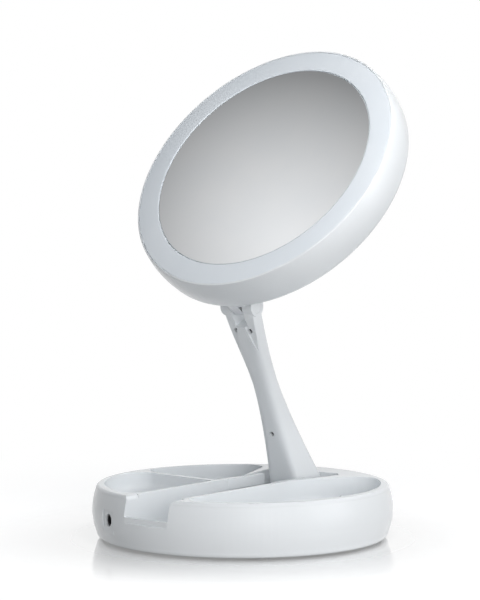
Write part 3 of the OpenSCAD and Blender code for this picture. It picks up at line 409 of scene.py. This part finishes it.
def arc(cx, cz, r, a0, a1, steps):
    return [(cx + r * math.cos(math.radians(a0 + (a1 - a0) * i / steps)),
             cz + r * math.sin(math.radians(a0 + (a1 - a0) * i / steps))) for i in range(steps + 1)]


def lathe(profile, turns=256, closed=True):
    """Turns a profile of (radius, height) points about Z. Points at radius 0 close it with a pole."""
    bm = bmesh.new()
    rings = []
    steps = [2 * math.pi * i / turns for i in range(turns)]
    for r, z in profile:
        spots = [(0, 0, z)] if r < 1e-9 else [(r * math.cos(a), r * math.sin(a), z) for a in steps]
        rings.append([bm.verts.new(spot) for spot in spots])
    pairs = list(zip(rings, rings[1:]))
    if closed:
        pairs.append((rings[-1], rings[0]))
    for a, b in pairs:
        if len(a) == 1 and len(b) == 1:
            continue
        for i in range(turns):
            j = (i + 1) % turns
            quad = [a[0] if len(a) == 1 else a[i], b[0] if len(b) == 1 else b[i],
                    b[0] if len(b) == 1 else b[j], a[0] if len(a) == 1 else a[j]]
            face = list(dict.fromkeys(quad))
            if len(face) > 2:
                bm.faces.new(face)
    return bm


def even_normals(mesh):
    """Lets the large faces round a point set its normal, so that only the rounded edges shade as curved."""
    faces, loops = len(mesh.polygons), len(mesh.loops)
    area, total = np.empty(faces), np.empty(faces, int)
    normal, point = np.empty(faces * 3), np.empty(loops, int)
    mesh.polygons.foreach_get("area", area)
    mesh.polygons.foreach_get("loop_total", total)
    mesh.polygons.foreach_get("normal", normal)
    mesh.loops.foreach_get("vertex_index", point)
    face = np.repeat(np.arange(faces), total)
    largest = np.zeros(len(mesh.vertices))
    np.maximum.at(largest, point, area[face])
    near = area[face] > 0.2 * largest[point]
    turned = np.zeros((len(mesh.vertices), 3))
    np.add.at(turned, point[near], (normal.reshape(-1, 3) * area[:, None])[face[near]])
    turned /= np.maximum(np.linalg.norm(turned, axis=1), 1e-12)[:, None]
    mesh.normals_split_custom_set_from_vertices(turned.tolist())


def soft_copy(name, node, material, width, angle=30, steps=3, weld=0.002):
    """A copy of a CAD node whose sharp edges are rounded, which then stands for it."""
    mesh = nodes[node].data.copy()
    mesh.name = name
    mesh.materials.clear()
    mesh.materials.append(material)
    obj = bpy.data.objects.new(name, mesh)
    bpy.context.scene.collection.objects.link(obj)
    bm = bmesh.new()
    bm.from_mesh(mesh)
    bmesh.ops.remove_doubles(bm, verts=bm.verts, dist=weld * MM)
    bmesh.ops.dissolve_degenerate(bm, edges=bm.edges, dist=1e-6)
    bmesh.ops.dissolve_limit(bm, angle_limit=math.radians(0.6), verts=bm.verts, edges=bm.edges)
    bm.to_mesh(mesh)
    bm.free()
    mod = obj.modifiers.new("round", "BEVEL")
    mod.width = width * MM
    mod.segments = steps
    mod.limit_method = "ANGLE"
    mod.angle_limit = math.radians(angle)
    mod.use_clamp_overlap = True
    apply_modifiers(obj)
    obj.data.polygons.foreach_set("use_smooth", [True] * len(obj.data.polygons))
    even_normals(obj.data)
    return obj


def own(name, body, node, obj):
    """Hands a finished piece to its body, in place of its CAD node."""
    obj.name = name
    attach(obj, body)
    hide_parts(*([node] if isinstance(node, str) else node))
    return obj


def joined(name, meshes, materials):
    """One piece out of several bmeshes, each already in metres and each with its material's number."""
    whole = bmesh.new()
    for bm, finish in meshes:
        for f in bm.faces:
            f.material_index = finish
        part = bpy.data.meshes.new("part")
        bm.to_mesh(part)
        bm.free()
        whole.from_mesh(part)
        bpy.data.meshes.remove(part)
    mesh = bpy.data.meshes.new(name)
    whole.to_mesh(mesh)
    whole.free()
    for m in materials:
        mesh.materials.append(m)
    obj = bpy.data.objects.new(name, mesh)
    bpy.context.scene.collection.objects.link(obj)
    return obj


def loose_parts(node):
    """The corners of each separate solid of a CAD node."""
    bm = bmesh.new()
    bm.from_mesh(nodes[node].data)
    bmesh.ops.remove_doubles(bm, verts=bm.verts, dist=1e-6)
    left, parts = set(bm.verts), []
    while left:
        stack, part = [left.pop()], []
        while stack:
            v = stack.pop()
            part.append(np.array(v.co))
            for e in v.link_edges:
                w = e.other_vert(v)
                if w in left:
                    left.remove(w)
                    stack.append(w)
        parts.append(np.array(part))
    bm.free()
    parts.sort(key=lambda p: tuple(np.round(p.mean(axis=0), 4)))
    return parts


# ---------------------------------------------------------------- geometry node trees

def link(tree, a, b):
    tree.links.new(a, b)


def scatter_tree():
    """Sets a master piece on every point, each with a turn of its own about Z."""
    tree = bpy.data.node_groups.new("pieces_on_points", "GeometryNodeTree")
    tree.is_modifier = True
    face = tree.interface
    face.new_socket("Points", in_out="INPUT", socket_type="NodeSocketGeometry")
    face.new_socket("Piece", in_out="INPUT", socket_type="NodeSocketObject")
    face.new_socket("Largest Turn", in_out="INPUT", socket_type="NodeSocketFloat")
    face.new_socket("Seed", in_out="INPUT", socket_type="NodeSocketInt")
    face.new_socket("Finish", in_out="INPUT", socket_type="NodeSocketMaterial")
    face.new_socket("Pieces", in_out="OUTPUT", socket_type="NodeSocketGeometry")
    given = tree.nodes.new("NodeGroupInput")
    master = tree.nodes.new("GeometryNodeObjectInfo")
    turn = tree.nodes.new("FunctionNodeRandomValue")
    turn.data_type = "FLOAT"
    spin = tree.nodes.new("ShaderNodeCombineXYZ")
    euler = tree.nodes.new("FunctionNodeEulerToRotation")
    place = tree.nodes.new("GeometryNodeInstanceOnPoints")
    real = tree.nodes.new("GeometryNodeRealizeInstances")
    dress = tree.nodes.new("GeometryNodeSetMaterial")
    done = tree.nodes.new("NodeGroupOutput")
    link(tree, given.outputs["Piece"], master.inputs["Object"])
    link(tree, given.outputs["Largest Turn"], next(s for s in turn.inputs if s.name == "Max" and s.enabled))
    link(tree, given.outputs["Seed"], turn.inputs["Seed"])
    link(tree, next(s for s in turn.outputs if s.enabled), spin.inputs["Z"])
    link(tree, spin.outputs[0], euler.inputs[0])
    link(tree, given.outputs["Points"], place.inputs["Points"])
    link(tree, master.outputs["Geometry"], place.inputs["Instance"])
    link(tree, euler.outputs[0], place.inputs["Rotation"])
    link(tree, place.outputs[0], real.inputs[0])
    link(tree, real.outputs[0], dress.inputs["Geometry"])
    link(tree, given.outputs["Finish"], dress.inputs["Material"])
    link(tree, dress.outputs[0], done.inputs[0])
    return tree


def lamp_ring_tree():
    """A ring of lamp packages, each a block with a low lens on it."""
    tree = bpy.data.node_groups.new("ring_of_lamps", "GeometryNodeTree")
    tree.is_modifier = True
    face = tree.interface
    face.new_socket("Base", in_out="INPUT", socket_type="NodeSocketGeometry")
    face.new_socket("Count", in_out="INPUT", socket_type="NodeSocketInt")
    for name in ("Ring Radius", "Package Length", "Package Width", "Package Height", "Lens Radius"):
        face.new_socket(name, in_out="INPUT", socket_type="NodeSocketFloat")
    face.new_socket("Package Finish", in_out="INPUT", socket_type="NodeSocketMaterial")
    face.new_socket("Lens Finish", in_out="INPUT", socket_type="NodeSocketMaterial")
    face.new_socket("Lamps", in_out="OUTPUT", socket_type="NodeSocketGeometry")
    new = tree.nodes.new
    given = new("NodeGroupInput")
    circle = new("GeometryNodeMeshCircle")
    link(tree, given.outputs["Count"], circle.inputs["Vertices"])
    link(tree, given.outputs["Ring Radius"], circle.inputs["Radius"])
    size = new("ShaderNodeCombineXYZ")
    link(tree, given.outputs["Package Length"], size.inputs["X"])
    link(tree, given.outputs["Package Width"], size.inputs["Y"])
    link(tree, given.outputs["Package Height"], size.inputs["Z"])
    block = new("GeometryNodeMeshCube")
    link(tree, size.outputs[0], block.inputs["Size"])
    raised = new("ShaderNodeCombineXYZ")
    link(tree, sums(tree, "MULTIPLY", given.outputs["Package Height"], 0.5), raised.inputs["Z"])
    lift = new("GeometryNodeTransform")
    link(tree, block.outputs["Mesh"], lift.inputs["Geometry"])
    link(tree, raised.outputs[0], lift.inputs["Translation"])
    ball = new("GeometryNodeMeshUVSphere")
    ball.inputs["Segments"].default_value = 16
    ball.inputs["Rings"].default_value = 8
    link(tree, given.outputs["Lens Radius"], ball.inputs["Radius"])
    low = new("GeometryNodeTransform")
    low.inputs["Scale"].default_value = (1, 1, 0.22)
    top = new("ShaderNodeCombineXYZ")
    link(tree, given.outputs["Package Height"], top.inputs["Z"])
    link(tree, ball.outputs["Mesh"], low.inputs["Geometry"])
    link(tree, top.outputs[0], low.inputs["Translation"])
    both = new("GeometryNodeJoinGeometry")
    link(tree, lift.outputs[0], both.inputs[0])
    link(tree, low.outputs[0], both.inputs[0])
    order = new("GeometryNodeInputIndex")
    step = sums(tree, "DIVIDE", 2 * math.pi, given.outputs["Count"])
    spin = new("ShaderNodeCombineXYZ")
    link(tree, sums(tree, "MULTIPLY", order.outputs[0], step), spin.inputs["Z"])
    euler = new("FunctionNodeEulerToRotation")
    link(tree, spin.outputs[0], euler.inputs[0])
    place = new("GeometryNodeInstanceOnPoints")
    link(tree, circle.outputs["Mesh"], place.inputs["Points"])
    link(tree, both.outputs[0], place.inputs["Instance"])
    link(tree, euler.outputs[0], place.inputs["Rotation"])
    real = new("GeometryNodeRealizeInstances")
    link(tree, place.outputs[0], real.inputs[0])
    dress = new("GeometryNodeSetMaterial")
    link(tree, real.outputs[0], dress.inputs["Geometry"])
    link(tree, given.outputs["Package Finish"], dress.inputs["Material"])
    where = new("GeometryNodeInputPosition")
    split = new("ShaderNodeSeparateXYZ")
    link(tree, where.outputs[0], split.inputs[0])
    above = new("FunctionNodeCompare")
    above.data_type = "FLOAT"
    above.operation = "GREATER_THAN"
    link(tree, split.outputs["Z"], above.inputs["A"])
    link(tree, given.outputs["Package Height"], above.inputs["B"])
    lens = new("GeometryNodeSetMaterial")
    link(tree, dress.outputs[0], lens.inputs["Geometry"])
    link(tree, above.outputs[0], lens.inputs["Selection"])
    link(tree, given.outputs["Lens Finish"], lens.inputs["Material"])
    done = new("NodeGroupOutput")
    link(tree, lens.outputs[0], done.inputs[0])
    return tree


def grow(name, base, tree, values):
    """Runs a tree on a base mesh and gives back a plain bmesh."""
    obj = bpy.data.objects.new(name, base)
    bpy.context.scene.collection.objects.link(obj)
    mod = obj.modifiers.new("pieces", "NODES")
    mod.node_group = tree
    for item in tree.interface.items_tree:
        if item.in_out == "INPUT" and item.name in values:
            mod[item.identifier] = values[item.name]
    deps = bpy.context.evaluated_depsgraph_get()
    mesh = bpy.data.meshes.new_from_object(obj.evaluated_get(deps))
    finishes = list(mesh.materials)
    bm = bmesh.new()
    bm.from_mesh(mesh)
    obj.modifiers.clear()
    bpy.data.objects.remove(obj)
    bpy.data.meshes.remove(mesh)
    return bm, finishes


SCATTER = scatter_tree()


def scattered(points, master, finish, turn=0.0, seed=1):
    """Copies of a master on points, as a bmesh in the frame of the points."""
    base = bpy.data.meshes.new("points")
    base.from_pydata([tuple(p) for p in points], [], [])
    obj = bpy.data.objects.new("master", master)
    bpy.context.scene.collection.objects.link(obj)
    bm, _ = grow("pieces", base, SCATTER,
                 {"Piece": obj, "Largest Turn": turn, "Seed": seed, "Finish": finish})
    bpy.data.objects.remove(obj)
    return bm


# ---------------------------------------------------------------- screws, feet and lamps

WAYS = [Vector(v) for v in ((0, 0, 1), (0, 0, -1), (1, 0, 0), (-1, 0, 0), (0, 1, 0), (0, -1, 0))]
WAYS += [p.to_3x3() @ w for p in (HEAD_PLACE, ARM_PLACE) for w in WAYS[:6]]


def long_axis(part):
    """The direction from the tip to the head of a screw, snapped to the axes that the object has."""
    mid = part.mean(axis=0)
    _, _, vt = np.linalg.svd(part - mid)
    axis = vt[0]
    t = (part - mid) @ axis
    r = np.linalg.norm(part - mid - np.outer(t, axis), axis=1)
    if t[r.argmax()] < 0:
        axis = -axis
    return max(WAYS, key=lambda w: w.dot(Vector(axis)))


def upright(axis):
    return axis.to_track_quat("Z", "Y").to_matrix().to_4x4()


def cross_screw(head_r, shank_r, length):
    """Mesh of a cross-head screw in metres, its head's top at the origin, with a raised thread."""
    head_h, pitch = SCREW_HEAD_H, THREAD_PITCH
    profile = [(0, 0), (head_r * 0.80, 0), (head_r * 0.95, -0.07), (head_r, -0.25), (head_r * 0.97, -0.5),
               (shank_r * 1.02, -head_h)]
    z = -head_h - 0.3
    while z > -length + 1.4:
        profile += [(shank_r * 0.80, z), (shank_r, z - pitch * 0.4), (shank_r, z - pitch * 0.55)]
        z -= pitch
    profile += [(shank_r * 0.80, -length + 1.2), (shank_r * 0.3, -length + 0.1), (0, -length)]
    bm = lathe([(r * MM, h * MM) for r, h in profile], turns=20, closed=False)
    bmesh.ops.recalc_face_normals(bm, faces=bm.faces)
    body = bpy.data.meshes.new("screw")
    bm.to_mesh(body)
    bm.free()
    cut = bmesh.new()
    for turn in (0, math.pi / 2):
        made = bmesh.ops.create_cube(cut, size=1)["verts"]
        for v in made:
            low = v.co.z < 0
            v.co = Vector((v.co.x * head_r * (0.75 if low else 1.15), v.co.y * head_r * (0.22 if low else 0.30),
                           -head_h * 0.62 if low else 0.4)) * MM
            v.co.rotate(Matrix.Rotation(turn, 3, "Z"))
    return carve(body, cut)


def carve(body, cutter):
    """Takes a cutter bmesh out of a mesh."""
    bmesh.ops.recalc_face_normals(cutter, faces=cutter.faces)
    tool_mesh = bpy.data.meshes.new("cutter")
    cutter.to_mesh(tool_mesh)
    cutter.free()
    tool = bpy.data.objects.new("cutter", tool_mesh)
    obj = bpy.data.objects.new("carved", body)
    for o in (tool, obj):
        bpy.context.scene.collection.objects.link(o)
    mod = obj.modifiers.new("carve", "BOOLEAN")
    mod.operation = "DIFFERENCE"
    mod.solver = "EXACT"
    mod.use_self = True
    mod.object = tool
    deps = bpy.context.evaluated_depsgraph_get()
    done = bpy.data.meshes.new_from_object(obj.evaluated_get(deps))
    obj.modifiers.clear()
    for o in (tool, obj):
        bpy.data.objects.remove(o)
    return done


def fit_screws(name, node, body, finish, seed):
    """Cross-head screws in the places of a node's plain ones."""
    parts = loose_parts(node)
    axis = long_axis(parts[0])
    place = upright(axis)
    back = np.array(place.inverted().to_3x3())
    groups = {}
    for part in parts:
        local = part @ back.T
        lo, hi = local.min(axis=0), local.max(axis=0)
        tip = local[local[:, 2] < lo[2] + 0.0004]
        shank = (tip[:, 0].max() - tip[:, 0].min()) / 2 / MM
        key = (round((hi[2] - lo[2]) / MM, 1), round((hi[0] - lo[0]) / 2 / MM, 1), round(shank, 2))
        groups.setdefault(key, []).append(((lo[0] + hi[0]) / 2, (lo[1] + hi[1]) / 2, hi[2]))
    pieces = []
    for (length, head_r, shank_r), points in sorted(groups.items()):
        bm = scattered(points, cross_screw(head_r, shank_r, length), finish, math.pi / 2, seed)
        bm.transform(place)
        pieces.append((bm, 0))
    obj = joined(name, pieces, [finish])
    shade(obj, 40)
    return own(name, body, node, obj)


def fit_pads(name, node, body, finish, up, dish=0.35):
    """Turned rubber pads with a round edge and a dished face, in the places of a node's plain ones."""
    parts = loose_parts(node)
    place = upright(up)
    back = np.array(place.inverted().to_3x3())
    points = []
    for part in parts:
        local = part @ back.T
        lo, hi = local.min(axis=0), local.max(axis=0)
        points.append(((lo[0] + hi[0]) / 2, (lo[1] + hi[1]) / 2, lo[2]))
        r, h = (hi[0] - lo[0]) / 2, hi[2] - lo[2]
    edge = min(h, r) * 0.35
    dent = h * dish
    profile = [(0, 0), (r, 0)] + arc(r - edge, h - edge, edge, 0, 90, 6)
    profile += [(r * 0.62, h), (r * 0.55, h - dent), (0, h - dent)]
    bm = lathe(profile, turns=48, closed=False)
    bmesh.ops.recalc_face_normals(bm, faces=bm.faces)
    master = bpy.data.meshes.new("pad")
    bm.to_mesh(master)
    bm.free()
    bm = scattered(points, master, finish)
    bm.transform(place)
    obj = joined(name, [(bm, 0)], [finish])
    shade(obj, 40)
    return own(name, body, node, obj)


def lamp_ring():
    """Forty lamp packages on the ring board."""
    values = {"Count": LED_COUNT, "Ring Radius": LED_RING_R * MM, "Package Length": 2.8 * MM,
              "Package Width": 3.5 * MM, "Package Height": 0.82 * MM, "Lens Radius": 1.15 * MM,
              "Package Finish": CERAMIC, "Lens Finish": PHOSPHOR}
    bm, finishes = grow("lamps", bpy.data.meshes.new("nothing"), lamp_ring_tree(), values)
    bm.transform(TO_METRES @ HEAD_PLACE @ Matrix.Translation((0, 0, BOARD_TOP)) @ Matrix.Scale(1000, 4))
    mesh = bpy.data.meshes.new("lamp_packages")
    bm.to_mesh(mesh)
    bm.free()
    for m in finishes:
        mesh.materials.append(m)
    obj = bpy.data.objects.new("lamp_packages", mesh)
    bpy.context.scene.collection.objects.link(obj)
    shade(obj, 30)
    return own("lamp_packages", "head", "led_chips", obj)


def cell_body():
    """Four cells: a plain sleeve with steel ends and a raised button at one end, each facing its own way."""
    pieces = []
    for part in loose_parts("battery_cells"):
        lo, hi = part.min(axis=0), part.max(axis=0)
        span = hi - lo
        k = int(span.argmax())
        r = span[(k + 1) % 3] / 2
        ends = [part[part[:, k] < lo[k] + 1e-5], part[part[:, k] > hi[k] - 1e-5]]
        small = 0 if np.ptp(ends[0], axis=0).max() < np.ptp(ends[1], axis=0).max() else 1
        way = Vector([0, 0, 0])
        way[k] = 1 if small else -1
        mid, half = (lo + hi) / 2, span[k] / 2
        nub_r, nub_h = 0.0027, 0.001
        sleeve = [(r * 0.86, -half + 0.0001), (r * 0.94, -half), (r, -half + 0.0006),
                  (r, half - nub_h - 0.0006), (r * 0.94, half - nub_h), (r * 0.84, half - nub_h - 0.0001)]
        steel = [(0, -half + 0.0002), (r * 0.88, -half + 0.0002), (r * 0.88, half - nub_h - 0.0003),
                 (nub_r * 1.5, half - nub_h - 0.0002), (nub_r, half - nub_h), (nub_r, half - 0.0003),
                 (nub_r * 0.85, half), (0, half)]
        place = Matrix.Translation(Vector(mid)) @ upright(way)
        for profile, closed, finish in ((sleeve, True, 0), (steel, False, 1)):
            bm = lathe(profile, turns=64, closed=closed)
            bmesh.ops.recalc_face_normals(bm, faces=bm.faces)
            bm.transform(place)
            pieces.append((bm, finish))
    obj = joined("cell_sleeves", pieces, [JACKET, STEEL])
    shade(obj, 35)
    return own("cell_sleeves", "base", "battery_cells", obj)


# ---------------------------------------------------------------- base tray

def facing(deg):
    return Vector((math.cos(math.radians(deg)), math.sin(math.radians(deg))))


class Wall:
    """A straight wall of a compartment through a point, seen from inside towards deg."""

    def __init__(self, point, deg):
        self.deg, self.way = deg, facing(deg)
        self.reach = self.way.dot(Vector(point))


def between_walls(a, b, c, inset):
    r = max(c, inset + 0.05)
    det = a.way.x * b.way.y - a.way.y * b.way.x
    p, q = a.reach - r, b.reach - r
    mid = Vector(((p * b.way.y - q * a.way.y) / det, (q * a.way.x - p * b.way.x) / det))
    return mid, r - inset, a.deg, b.deg


def wall_to_rim(w, c, inset, side):
    """The rounded corner between a wall and the rim. side is 1 where the rim follows the wall."""
    r = max(c, inset + 0.05)
    flat = w.way * (w.reach - r)
    on = Vector((-w.way.y, w.way.x)) * side
    mid = flat + on * math.sqrt((RIM_R - r) ** 2 - flat.length_squared)
    deg = math.degrees(math.atan2(mid.y, mid.x))
    while (deg - w.deg) * side < 0:
        deg += 360 * side
    return mid, r - inset, *((w.deg, deg) if side > 0 else (deg, w.deg))


def room_loop(corners, inset, arc_steps=10, rim_steps=72):
    """Outline of a compartment, anticlockwise, inset by a distance. It has as many points at any inset."""
    spots = []
    for kind, *rest in corners:
        spots.append(between_walls(*rest, inset) if kind == "walls" else wall_to_rim(*rest[:2], inset, rest[2]))
    loop = []
    for n, (mid, r, a, b) in enumerate(spots):
        loop += [mid + facing(a + (b - a) * i / arc_steps) * r for i in range(arc_steps + 1)]
        if corners[n][0] == "rim" and corners[n][3] > 0:
            nxt = spots[(n + 1) % len(spots)][2]
            while nxt < b:
                nxt += 360
            loop += [facing(b + (nxt - b) * i / rim_steps) * (RIM_R - inset) for i in range(1, rim_steps)]
    return loop


def compartments():
    """Corners and floor height of the three compartments."""
    low, high = Vector((-WELL_X, DIVIDER_Y)), Vector((-WELL_X, DIVIDER_Y + DIVIDER_T))
    knee = Vector((WELL_X, FLARE_Y))
    side, hub, bend = Wall(low, 0), Wall(knee, 180), Wall(knee, 180 - FLARE_TURN)
    front, rear = Wall(low, 90 - DIVIDER_SLOPE), Wall(high, 270 - DIVIDER_SLOPE)
    flare = Wall((-WELL_X, BACK_FLARE_Y), BACK_FLARE_TURN)
    left = [("walls", side, front, DIVIDER_CORNER_R), ("rim", front, CORNER_R, 1),
            ("rim", Wall(low, 360), HUB_CORNER_R, -1)]
    back = [("walls", side, flare, FLARE_CORNER_R), ("rim", flare, CORNER_R, 1), ("rim", rear, CORNER_R, -1),
            ("walls", rear, Wall(high, 360), DIVIDER_CORNER_R)]
    right = [("walls", bend, hub, BEND_R), ("rim", hub, HUB_CORNER_R, 1),
             ("rim", Wall(knee, 540 - FLARE_TURN), CORNER_R, -1)]
    return [(left, LEFT_Z), (back, BACK_Z), (right, RIGHT_Z)]


def floor_sweep(corners, floor, r=SWEEP_R, steps=9):
    """The hollow round between a compartment's floor and its walls, as a closed body sunk into both."""
    sunk = 0.4
    section = [(-sunk, floor + r)]
    section += [(r * (1 - math.cos(a)), floor + r * (1 - math.sin(a)))
                for a in (math.pi / 2 * i / steps for i in range(steps + 1))]
    section += [(r, floor - sunk), (-sunk, floor - sunk)]
    bm = bmesh.new()
    rings = [[bm.verts.new((*p, z)) for p in room_loop(corners, inset)] for inset, z in section]
    for a, b in zip(rings, rings[1:] + rings[:1]):
        for i in range(len(a)):
            j = (i + 1) % len(a)
            bm.faces.new((a[i], a[j], b[j], b[i]))
    bmesh.ops.remove_doubles(bm, verts=bm.verts, dist=1e-4)
    bmesh.ops.dissolve_degenerate(bm, edges=bm.edges, dist=1e-4)
    bmesh.ops.recalc_face_normals(bm, faces=bm.faces)
    if bm.calc_volume(signed=True) < 0:
        bmesh.ops.reverse_faces(bm, faces=bm.faces)
    bm.transform(TO_METRES)
    return bm


def tray_moulding():
    """The tray with soft edges, and with the floors of its compartments swept up into their walls."""
    shell = soft_copy("tray_moulding", "base_tray", WHITE, 0.7, weld=0.06)
    whole = bmesh.new()
    whole.from_mesh(shell.data)
    for corners, floor in compartments():
        bm = floor_sweep(corners, floor)
        for f in bm.faces:
            f.smooth = True
        for e in bm.edges:
            e.smooth = e.calc_face_angle(0) < math.radians(40)
        part = bpy.data.meshes.new("sweep")
        bm.to_mesh(part)
        bm.free()
        whole.from_mesh(part)
        bpy.data.meshes.remove(part)
    whole.to_mesh(shell.data)
    whole.free()
    return own("tray_moulding", "base", "base_tray", shell)


def local_box(node, place):
    """Lowest and highest corner of a CAD node in a frame, in millimetres."""
    back = np.array(place.inverted())
    co = np.array([v.co for v in nodes[node].data.vertices]) / MM
    local = co @ back[:3, :3].T + back[:3, 3]
    return local.min(axis=0), local.max(axis=0)


def glass_disc():
    """The silvered glass: flat in front, with a dull ground edge and a painted back."""
    lo, hi = local_box("mirror_glass", HEAD_PLACE)
    r, edge = hi[0], 0.45
    profile = [(0, hi[2]), (r - edge, hi[2]), (r, hi[2] - edge),
               (r, lo[2] + edge), (r - edge, lo[2]), (0, lo[2])]
    obj = mesh_object("glass_disc", lathe(profile, closed=False), MIRROR, HEAD_PLACE, 20)
    obj.data.materials.append(GROUND_EDGE)
    out = HEAD_PLACE.to_3x3() @ Vector((0, 0, 1))
    for face in obj.data.polygons:
        face.material_index = 0 if face.normal.dot(out) > 0.99 else 1
    return own("glass_disc", "head", "mirror_glass", obj)


def diffuser_ring():
    """The milky ring: a flat face with round edges, and the lip that holds the glass from behind."""
    lo, hi = local_box("light_ring", HEAD_PLACE)
    out, inner, top = hi[0], GLASS_R + 0.2, hi[2]
    edge, lip_r, lip_z = 0.7, GLASS_R + 3, lo[2] + 1.2
    profile = arc(inner + edge, top - edge, edge, 180, 90, 6) + arc(out - edge, top - edge, edge, 90, 0, 6)
    profile += [(out, lip_z), (lip_r, lip_z), (lip_r, lo[2]), (inner, lo[2])]
    obj = mesh_object("diffuser_ring", lathe(profile), DIFFUSER, HEAD_PLACE, 35)
    return own("diffuser_ring", "head", "light_ring", obj)


def slim_pegs(mesh):
    """Takes a hair off the battery door's two pegs, so that their flats turn freely in the sockets."""
    cx, cz = PEG_X * MM, PEG_Z * MM
    plate = [v.co.y for v in mesh.vertices if math.hypot(v.co.x - cx, v.co.z - cz) > 1.5 * MM]
    low, high = min(plate), max(plate)
    for v in mesh.vertices:
        if v.co.y < low - 0.02 * MM or v.co.y > high + 0.02 * MM:
            v.co.x = cx + (v.co.x - cx) * PEG_SLIM
            v.co.z = cz + (v.co.z - cz) * PEG_SLIM


def soft(name, node, body, finish, width, angle=30):
    """Puts a rounded copy of a CAD node in its place, on its body."""
    return own(name, body, node, soft_copy(name, node, finish, width, angle))


# ---------------------------------------------------------------- scene

bpy.context.scene.view_settings.view_transform = "Standard"
place_camera()
studio_world()
studio_floor()
area_lamp("right_front", (1.10, -0.80, 0.34), (0, 0, 0.2), (0.8, 0.6), 7.2, glossy=False)
area_lamp("right_side", (1.25, 0.35, 0.30), (0, 0, 0.2), (0.8, 0.6), 2.6)
area_lamp("back_high", (0.5, 1.0, 1.2), (0, 0, 0.2), (0.8, 0.8), 3.8)
area_lamp("near_ring", (0.22, -0.16, 0.50), (0.02, 0, 0.28), (0.15, 0.15), 0.8, glossy=False)
area_lamp("back_left", (-1.2, 0.9, 0.45), (0, 0, 0.2), (1.0, 0.8), 6.0, glossy=False)
finish_cad_nodes()

tray_moulding()
soft("cover_moulding", "base_cover", "base", WHITE, 0.5)
door = soft("door_moulding", "battery_door", "battery_door", WHITE, 0.4)
slim_pegs(door.data)
soft("button_cap", "power_button", "power_button", WHITE, 0.5)
soft("socket_plate", "jack_plate", "base", WHITE, 0.45)
soft("arm_front_moulding", "arm_front_shell", "arm", WHITE, 0.5, 40)
soft("arm_rear_moulding", "arm_rear_cover", "arm", WHITE, 0.4, 40)
soft("pin_end_caps", "pin_caps", "arm", WHITE, 0.3)
soft("knuckle_casting", "tilt_knuckle", "head", PALE_CASTING, 0.4)
soft("head_moulding", "head_shell", "head", WHITE, 0.5)
diffuser_ring()
glass_disc()
soft("hinge_castings", "hinge_blocks", "base", CASTING, 0.5)
fit_screws("cover_cross_screws", "cover_screws", "base", STEEL, 3)
fit_screws("board_cross_screws", "board_screws", "base", STEEL, 5)
fit_screws("block_cross_screws", "hinge_block_screws", "base", STEEL, 7)
fit_screws("arm_cross_screws", "arm_screws", "arm", DARK_STEEL, 9)
fit_screws("knuckle_cross_screws", "knuckle_screws", "head", STEEL, 11)
fit_screws("carrier_cross_screws", "carrier_screws", "head", STEEL, 13)
fit_pads("turned_feet", "rubber_feet", "base", RUBBER, Vector((0, 0, -1)))
fit_pads("turned_rests", "rest_pads", "head", RUBBER, -(HEAD_PLACE.to_3x3() @ Vector((0, 0, 1))))
lamp_ring()
cell_body()
